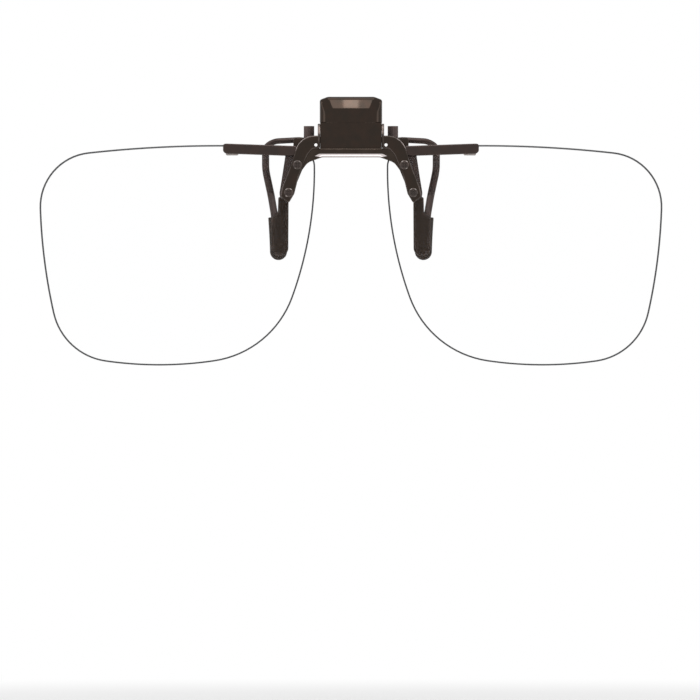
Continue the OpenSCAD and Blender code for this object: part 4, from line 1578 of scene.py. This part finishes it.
@dataclass
class SpringClip(SubAssembly):
    """The housing, its front tab, the thumb lever, the axle and the spring.

    Attributes:
        house_top: height of the housing's ledge.
        wall_out: front of the housing's wall.
        tab_w: width of the tab.
        tab_h: height of the tab.
        tab_t: thickness of the tab.
        top_bevel: width of the bevel along its top.
        side_bevel: width of the bevels along its sides.
        bevel_depth: how far the bevels fall back.
        shoulder: radius of the bevels' outer edge.
        fade_r: radius of their inner edge.
        swell: how far their middle bulges.
        swell_r: radius of that bulge.
        crown_r: radius of the tab's crowned front.
        grid: distance between points round the tab.
        wire_d: diameter of the spring's wire.
        coil_d: diameter of its coil, from wire centre to wire centre.
        leg: length of each of its legs.
    """

    house_top: float = 23.7
    wall_out: float = -5.8
    tab_w: float = 13.1
    tab_h: float = 5.45
    tab_t: float = 2.6
    top_bevel: float = 2.7
    side_bevel: float = 1.15
    bevel_depth: float = 1.05
    shoulder: float = 1.25
    fade_r: float = 1.6
    swell: float = 0.03
    swell_r: float = 25.0
    crown_r: float = 42.0
    grid: float = 0.5
    wire_d: float = 0.45
    coil_d: float = 2.2
    leg: float = 7.0

    def tab(self) -> Shell:
        """The front tab: a block with cut corners whose face is bevelled all round.

        A profile of insets and depths is carried round the outline. An inset of top_bevel
        reaches the face's outline, and others go by its share, so the bevel is as wide as
        each side asks for. The whole front is crowned by x^2 / 2R.

        Returns:
            The closed shell.
        """
        low, front = self.house_top + self.layout.seat, self.wall_out - 0.1
        top, half, back = low + self.tab_h, self.tab_w / 2, front + self.tab_t
        wide, deep = self.top_bevel, self.bevel_depth

        def outline(side: float, upper: float) -> Points:
            """The tab's outline, drawn in from its sides and top."""
            out, high = half - side, top - upper
            return rounded([
                [-out, low, 0.15], [out, low, 0.15], [out, high - 0.65, 0.6],
                [out - 1.7, high, 2], [-out + 1.7, high, 2], [-out, high - 0.65, 0.6],
            ])

        corners = outline(0, 0)
        outer = spaced(corners, self.grid)
        face = spaced(outline(self.side_bevel, wide), self.grid, corners)
        # Only the four arcs are kept. The first and the last two corners aim them.
        profile = rounded([
            [1, back, 0], [0, back, 0.3], [0, front + deep, self.shoulder],
            [wide * 0.6, front + deep * 0.4 - self.swell, self.swell_r],
            [wide, front, self.fade_r], [wide + 2, front, 0], [wide + 2, back, 0],
        ])[1:-2]
        flat = outer + (face - outer) * (profile[:, 0] / wide)[:, None, None]
        ahead = smooth_step(back, front + 0.9, profile[:, 1])[:, None]
        crown = flat[..., 0] ** 2 / (2 * self.crown_r) * ahead
        shell = Shell(raised(flat, profile[:, 1:] + crown).reshape(-1, 3))
        index = np.arange(len(shell.points)).reshape(len(profile), -1)
        for k in range(len(profile) - 1):
            shell.add(strip_faces(index[k + 1], index[k]))
        inner, triangles = fill([flat[-1]], 0.8)
        extra = inner[len(outer):]
        spots = np.concatenate([index[-1], len(shell.points) + np.arange(len(extra))])
        bulge = raised(extra, front + extra[:, 0] ** 2 / (2 * self.crown_r))
        shell.points = np.concatenate([shell.points, bulge])
        return shell.add(spots[triangles]).add(index[0][None, ::-1])

    def spring(self) -> Shell:
        """The spring: a leg up the tab, curls round the axle and a leg up the lever.

        A curl's point at angle a is (pitch a / 360, r cos a, r sin a) about the axle, and
        each leg leaves its end of the coil along the tangent there.

        Returns:
            The closed shell.
        """
        at, r = self.layout, self.coil_d / 2
        t = np.linspace(0, 1, int(at.coil_sweep / 12) + 1)
        a = np.radians(at.front_angle + at.coil_sweep * t)
        length = 2 * at.coil_half
        coil = np.stack([length * (t - 0.5), at.axle_y + r * np.cos(a), at.axle_z + r * np.sin(a)], -1)
        first, last = a[0], a[-1]
        down = np.array([0, math.sin(first), -math.cos(first)])
        up = np.array([0, -math.sin(last), math.cos(last)])
        reach = np.linspace(self.leg, 0.25, 14)[:, None]
        path = np.concatenate([coil[0] + down * reach, coil, coil[-1] + up * reach[::-1]])
        return tube(path, self.wire_d / 2, (1, 0, 0), 12, 0.1)

    def make(self) -> None:
        """Makes the tab and the spring, and dresses the rest."""
        self.shop.piece("tab_in_front", self.tab(), TAB_BRONZE, Body.CLIP, "front_tab")
        self.shop.keep("clip_housing", BRONZE, 0.09)
        self.shop.keep("thumb_lever", BRONZE, 0.1)
        self.shop.keep("jaw_axle", PIN_STEEL, 0.06)
        made = self.shop.piece("spring_wound", self.spring(), SPRING_STEEL, None, "torsion_spring")
        reach = (self.layout.coil_half - self.wire_d / 2) * MM
        -reach
        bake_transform(made)


@dataclass
class Jaws(SubAssembly):
    """The front strip, the rear wires and their posts, and the four grip sleeves.

    Attributes:
        grip_gap: gap between the front and rear pads.
        pad_x: distance from the middle to the pads.
        leg_w: width of the front legs.
        leg_t: thickness of the strip and its legs.
        strip_back: back of the strip.
        coil_room: gap between the spring's coil and the slot beside it.
        drop: width of the slot's cut corners.
        post_x: distance from the middle to the wire posts.
        yoke_out: distance from the middle to the strip's shoulders.
        knee_x: distance from the middle to the middle of the front legs' necks.
        foot_x: distance from the middle to the middle of their feet.
        wire_d: diameter of the rear wires.
        wire_bow: how far back they bow.
        wire_spread: distance from the middle to their upper bend.
        wire_bend_r: radius of that bend.
        wire_flat: share by which they are pressed wider from that bend down.
        wire_tall: the same share in the level stretch.
        wire_sag: how far the level stretch sinks.
        front_w: width of the front sleeves.
        front_d: depth of the front sleeves.
        front_drop: how far they reach below the origin.
        front_crown: how far their sides fall back.
        front_edge: radius of their front edge.
        neck_fall: how much smaller it is at the neck's mouth.
        neck_thin: how much thinner the neck is.
        neck_top: height of their mouths.
        neck_w: width of their necks.
        rear_d: diameter of the rear sleeves.
        rear_drop: how far they reach below the origin.
        waist: how far their wall draws in.
        lip_r: radius of their mouth's lip.
    """

    grip_gap: float = 0.3
    pad_x: float = 14.95
    leg_w: float = 1.5
    leg_t: float = 0.7
    strip_back: float = -0.4
    coil_room: float = 1.4
    drop: float = 0.55
    post_x: float = 8.81
    yoke_out: float = 12.1
    knee_x: float = 14.2
    foot_x: float = 14.8
    wire_d: float = 1.05
    wire_bow: float = 5.6
    wire_spread: float = 17.95
    wire_bend_r: float = 2.9
    wire_flat: float = 0.45
    wire_tall: float = 0.16
    wire_sag: float = 0.38
    front_w: float = 3.6
    front_d: float = 1.95
    front_drop: float = 4.2
    front_crown: float = 0.12
    front_edge: float = 0.55
    neck_fall: float = 0.33
    neck_thin: float = 0.1
    neck_top: float = 8.15
    neck_w: float = 2.24
    rear_d: float = 3.6
    rear_drop: float = 5.05
    waist: float = 0.04
    lip_r: float = 0.2

    def strip(self) -> Shell:
        """The front jaw: a strip through the housing with a splayed leg at each end."""
        at, post = self.layout, self.post_x
        low, high = at.axle_z - 0.65, at.axle_z + 0.45
        half, knee, foot = self.leg_w / 2, self.knee_x, self.foot_x
        foot_z = 1.6 - self.front_drop
        slot = at.coil_half + self.coil_room
        right = [
            [slot, low - self.drop, 0.3], [slot + self.drop, low, 0.3],
            [post - 0.5, low, 0.3], [post - 0.2, low - 1.05, 0.3],
            [self.yoke_out - self.leg_w - 0.2, low - 1.05, 1.2], [knee - half, self.neck_top, 6],
            [foot - half, foot_z, 0.7], [foot + half, foot_z, 0.7], [knee + half, self.neck_top, 8],
            [self.yoke_out, low - 1.3, 1.5], [self.yoke_out, high, 0.6],
            [slot + self.drop, high, 0.3], [slot, high - self.drop, 0.3],
        ]
        front, back = flat_at(self.strip_back - self.leg_t), flat_at(self.strip_back)
        return plate(rounded(mirrored(right)), front, back, [], 0.8, 0.12, 0.12)

    def front_sleeve(self) -> Shell:
        """The right front sleeve: a flat pad with a narrow neck and soft edges.

        Its front is crowned by ((x - xc) / half)^2, and its edges roll over.

        Returns:
            The closed shell.
        """
        x, half, back = self.pad_x, self.front_w / 2, -self.grip_gap / 2
        neck = x - half + 0.05
        r = half * 0.94
        outline = rounded([
            [x - half, -self.front_drop, r], [x + half, -self.front_drop, r],
            [x + half, 3.8, 0.6], [neck + self.neck_w - 0.1, 5.0, 0.5],
            [neck + self.neck_w - 0.2, self.neck_top, 0.3], [neck - 0.12, self.neck_top, 0.3],
        ], 12)

        def front(x: Points, z: Points) -> Points:
            """Crowned front of the pad, thinner at the neck."""
            across = np.clip((x - self.pad_x) / half, -1, 1)
            thin = self.neck_thin * smooth_step(3.5, 7.5, z)
            return back - self.front_d + self.front_crown * across**2 + thin

        def edge(x: Points, z: Points) -> Points:
            """Radius of the front edge, smaller at the neck's mouth."""
            return self.front_edge - self.neck_fall * smooth_step(4.0, 7.2, z)

        return plate(outline, front, flat_at(back), [], 0.5, edge, 0.22, 5)

    def rear_wire(self) -> Shell:
        """The right rear wire: out of its post, down, bowed back and into its sleeve."""
        y, z, spread = self.layout.axle_y, self.layout.axle_z, self.wire_spread
        pad_y = self.grip_gap / 2 + self.rear_d / 2
        free, full = self.post_x + 1.2, self.post_x + 2
        bends = bent_path(
            [
                [full, y, z], [spread, y, z - self.wire_sag], [spread, self.wire_bow, z - 6.3],
                [spread - 1.15, self.wire_bow, 8.6], [self.pad_x + 1.17, pad_y, 4.7],
                [self.pad_x + 0.3, pad_y, 1.5 - self.rear_drop],
            ],
            [self.wire_bend_r, 4.0, 2.6, 1.2], 14,
        )
        path = np.concatenate([[[self.post_x + 0.06, y, z], [free, y, z]], bends])
        pressed = self.wire_flat * np.clip(2 * (z - path[:, 2]) / self.wire_bend_r, 0, 1)
        pressed = np.maximum(pressed, self.wire_tall * smooth_step(free, full, path[:, 0]))
        return tube(path, self.wire_d / 2, (0, 1, 0), 24, 0.12, pressed)

    def rear_sleeve(self) -> Shell:
        """The right rear sleeve: a turned tube with a round foot, leaning a little outwards.

        The profile is a hemisphere below, a wall that draws in by its waist between its
        ends, and a lip round the mouth.

        Returns:
            The closed shell.
        """
        r, lip = self.rear_d / 2, self.lip_r
        y = self.grip_gap / 2 + r
        top = np.array([self.pad_x + 0.65, y, 4.0])
        foot = np.array([self.pad_x + 0.27, y, r - self.rear_drop])
        length = np.linalg.norm(top - foot)
        dome = np.radians(np.linspace(4, 90, 12))
        wall = np.linspace(0.12, 0.93, 14)
        bend = np.radians([25, 50, 75, 90])
        shell = turned(np.concatenate([
            np.stack([r * np.sin(dome), -r * np.cos(dome)], -1),
            np.stack([r - self.waist * np.sin(math.pi * wall), length * wall], -1),
            [[r, length - 0.32], [r, length - lip]],
            np.stack([r - lip * (1 - np.cos(bend)), length - lip + lip * np.sin(bend)], -1),
            [[self.wire_d * 0.8, length], [self.wire_d * 0.7, length - 0.25]],
        ]), 56)
        axis = unit(top - foot)
        side = unit(np.cross(axis, [0, 1, 0]))
        depth = np.cross(side, axis)
        x, h, z = shell.points.T
        shell.points = foot + x[:, None] * side + h[:, None] * axis + z[:, None] * depth
        return shell

    def make(self) -> None:
        """Makes the strip, wires and sleeves, and dresses the posts and their screws."""
        shop = self.shop
        shop.piece("strip_of_front_jaw", self.strip(), BRONZE, Body.CLIP, "front_jaw")
        shop.pair("sleeve_front", self.front_sleeve(), RUBBER, Body.CLIP, "front_sleeve")
        shop.pair("sleeve_rear", self.rear_sleeve(), RUBBER, Body.REAR_JAW, "rear_sleeve")
        shop.pair("wire", self.rear_wire(), SATIN_BRONZE, Body.REAR_JAW, "rear_wire")
        for side in Side:
            shop.keep(f"{side.word}_wire_post", DULL_BRONZE, 0.12)
        shop.keep("post_screws", PIN_STEEL, 0.04)


@dataclass
class Studio:
    """A white floor, a white surround, soft lamps and the camera.

    Attributes:
        floor_z: height of the floor.
        floor_half: half its width.
        shadow: distances from its middle at which shadows on it start to fade and have gone.
        surround: how brightly the surround lights.
        distance: distance from the camera to the origin.
        sensor: width of the camera's sensor.
        lamps: name, place, target, width and height, and radiance, where 1 is white.
    """

    floor_z: float = -101.0
    floor_half: float = 6000.0
    shadow: tuple[float, float] = (110.0, 300.0)
    surround: float = 0.62
    distance: float = 2450.0
    sensor: float = 36.0
    lamps: tuple[tuple[str, Colour, Colour, tuple[float, float], float], ...] = (
        ("key", (0, -263, 307), (0, -5, 28), (230, 120), 2.6),
        ("glint", (0, -262, 306), (0, -5, 28), (53, 100), 5.2),
        ("top", (0, -60, 330), (0, -5, 20), (260, 200), 1.5),
        ("low", (0, -54, -84), (0, -8, 17), (200, 66), 1.0),
        ("left", (-420, -120, 60), (0, 0, 10), (260, 240), 1.2),
        ("right", (420, -120, 60), (0, 0, 10), (260, 240), 1.2),
        ("upper left", (-310, -115, 240), (0, -5, 15), (170, 150), 2.0),
        ("upper right", (310, -115, 240), (0, -5, 15), (170, 150), 2.0),
    )

    def seen(self, nodes: NodeMaker) -> Link:
        """1 for rays from the camera, from gloss and through glass, and 0 for others."""
        camera, gloss, glass = (nodes.add("ShaderNodeLightPath", out=k) for k in (0, 3, 6))
        return camera.math("MAXIMUM", gloss).math("MAXIMUM", glass)

    def floor(self) -> None:
        """Makes the floor, which keeps the object's shadow near its middle."""
        half = self.floor_half
        corners = np.array([[-half, -half], [half, -half], [half, half], [-half, half]])
        shell = Shell(np.column_stack([corners, np.full(4, self.floor_z)])).add([[0, 1, 2, 3]])
        made = placed("floor", shell.mesh("floor"))
        material = bpy.data.materials.new("floor_white")
        nodes = NodeMaker(material)
        spot = nodes.add("ShaderNodeMapping", inputs={"Vector": nodes.place(), "Scale": (1, 1, 0)})
        away = nodes.add("ShaderNodeVectorMath", {"operation": "LENGTH"}, {0: spot}, out=1)
        paint = nodes.add("ShaderNodeBsdfDiffuse", inputs={"Color": (0.93, 0.93, 0.93, 1)})
        glow = nodes.add("ShaderNodeEmission", inputs={"Color": WHITE, "Strength": 1.0})
        share = self.seen(nodes) * away.step(self.shadow[0] * MM, self.shadow[1] * MM)
        mixed = nodes.add("ShaderNodeMixShader", inputs={0: share, 1: paint, 2: glow})
        nodes.add("ShaderNodeOutputMaterial", inputs={0: mixed})
        made.data.materials.append(material)

    def world(self) -> None:
        """Makes the surround: white where it is seen or mirrored, softer where it lights."""
        world = bpy.data.worlds.new("surround")
        bpy.context.scene.world = world
        nodes = NodeMaker(world)
        light, white = (
            nodes.add("ShaderNodeBackground", inputs={"Color": WHITE, "Strength": strength})
            for strength in (self.surround, 1.0)
        )
        mixed = nodes.add("ShaderNodeMixShader", inputs={0: self.seen(nodes), 1: light, 2: white})
        nodes.add("ShaderNodeOutputWorld", inputs={0: mixed})

    def lights(self) -> None:
        """Hangs the lamps."""
        for name, place, target, size, radiance in self.lamps:
            data = bpy.data.lights.new(name, "AREA")
            data.shape = "RECTANGLE"
            data.size, data.size_y = size[0] * MM, size[1] * MM
            data.energy = radiance * math.pi * data.size * data.size_y
            lamp = placed(name, data)
            lamp.location = Vector(place) * MM
            aim = (Vector(target) - Vector(place)).normalized()
            lamp.rotation_euler = aim.to_track_quat("-Z", "Y").to_euler()
            lamp.visible_camera = False

    def camera(self) -> None:
        """Makes the camera, far in front and level, with the photograph's frame."""
        middle = PHOTO_SIDE / 2
        data = bpy.data.cameras.new("camera")
        data.sensor_width = self.sensor
        data.lens = self.sensor * self.distance / (PHOTO_SIDE * PHOTO_SCALE)
        data.clip_start, data.clip_end = 0.05, 30.0
        camera = placed("camera", data)
        x = (middle - PHOTO_ORIGIN[0]) * PHOTO_SCALE
        z = (PHOTO_ORIGIN[1] - middle) * PHOTO_SCALE
        camera.location = Vector((x, -self.distance, z)) * MM
        camera.rotation_euler = (math.pi / 2, 0, 0)
        bpy.context.scene.camera = camera

    def make(self) -> None:
        """Makes the whole studio."""
        bpy.context.scene.view_settings.view_transform = "Standard"
        self.camera()
        self.floor()
        self.world()
        self.lights()


def main() -> None:
    """Builds the dressed clip-on and its studio."""
    logging.basicConfig(level=logging.INFO, format="%(name)s: %(message)s")
    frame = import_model()
    Studio().make()
    layout = Layout()
    shop = Workshop(frame["nodes"])
    for kind in (LensPair, Bridge, BrowArms, SpringClip, Jaws):
        log.info("making %s", kind.__name__)
        kind(layout, shop).make()
    bpy.context.view_layer.update()


if __name__ == "__main__":
    main()
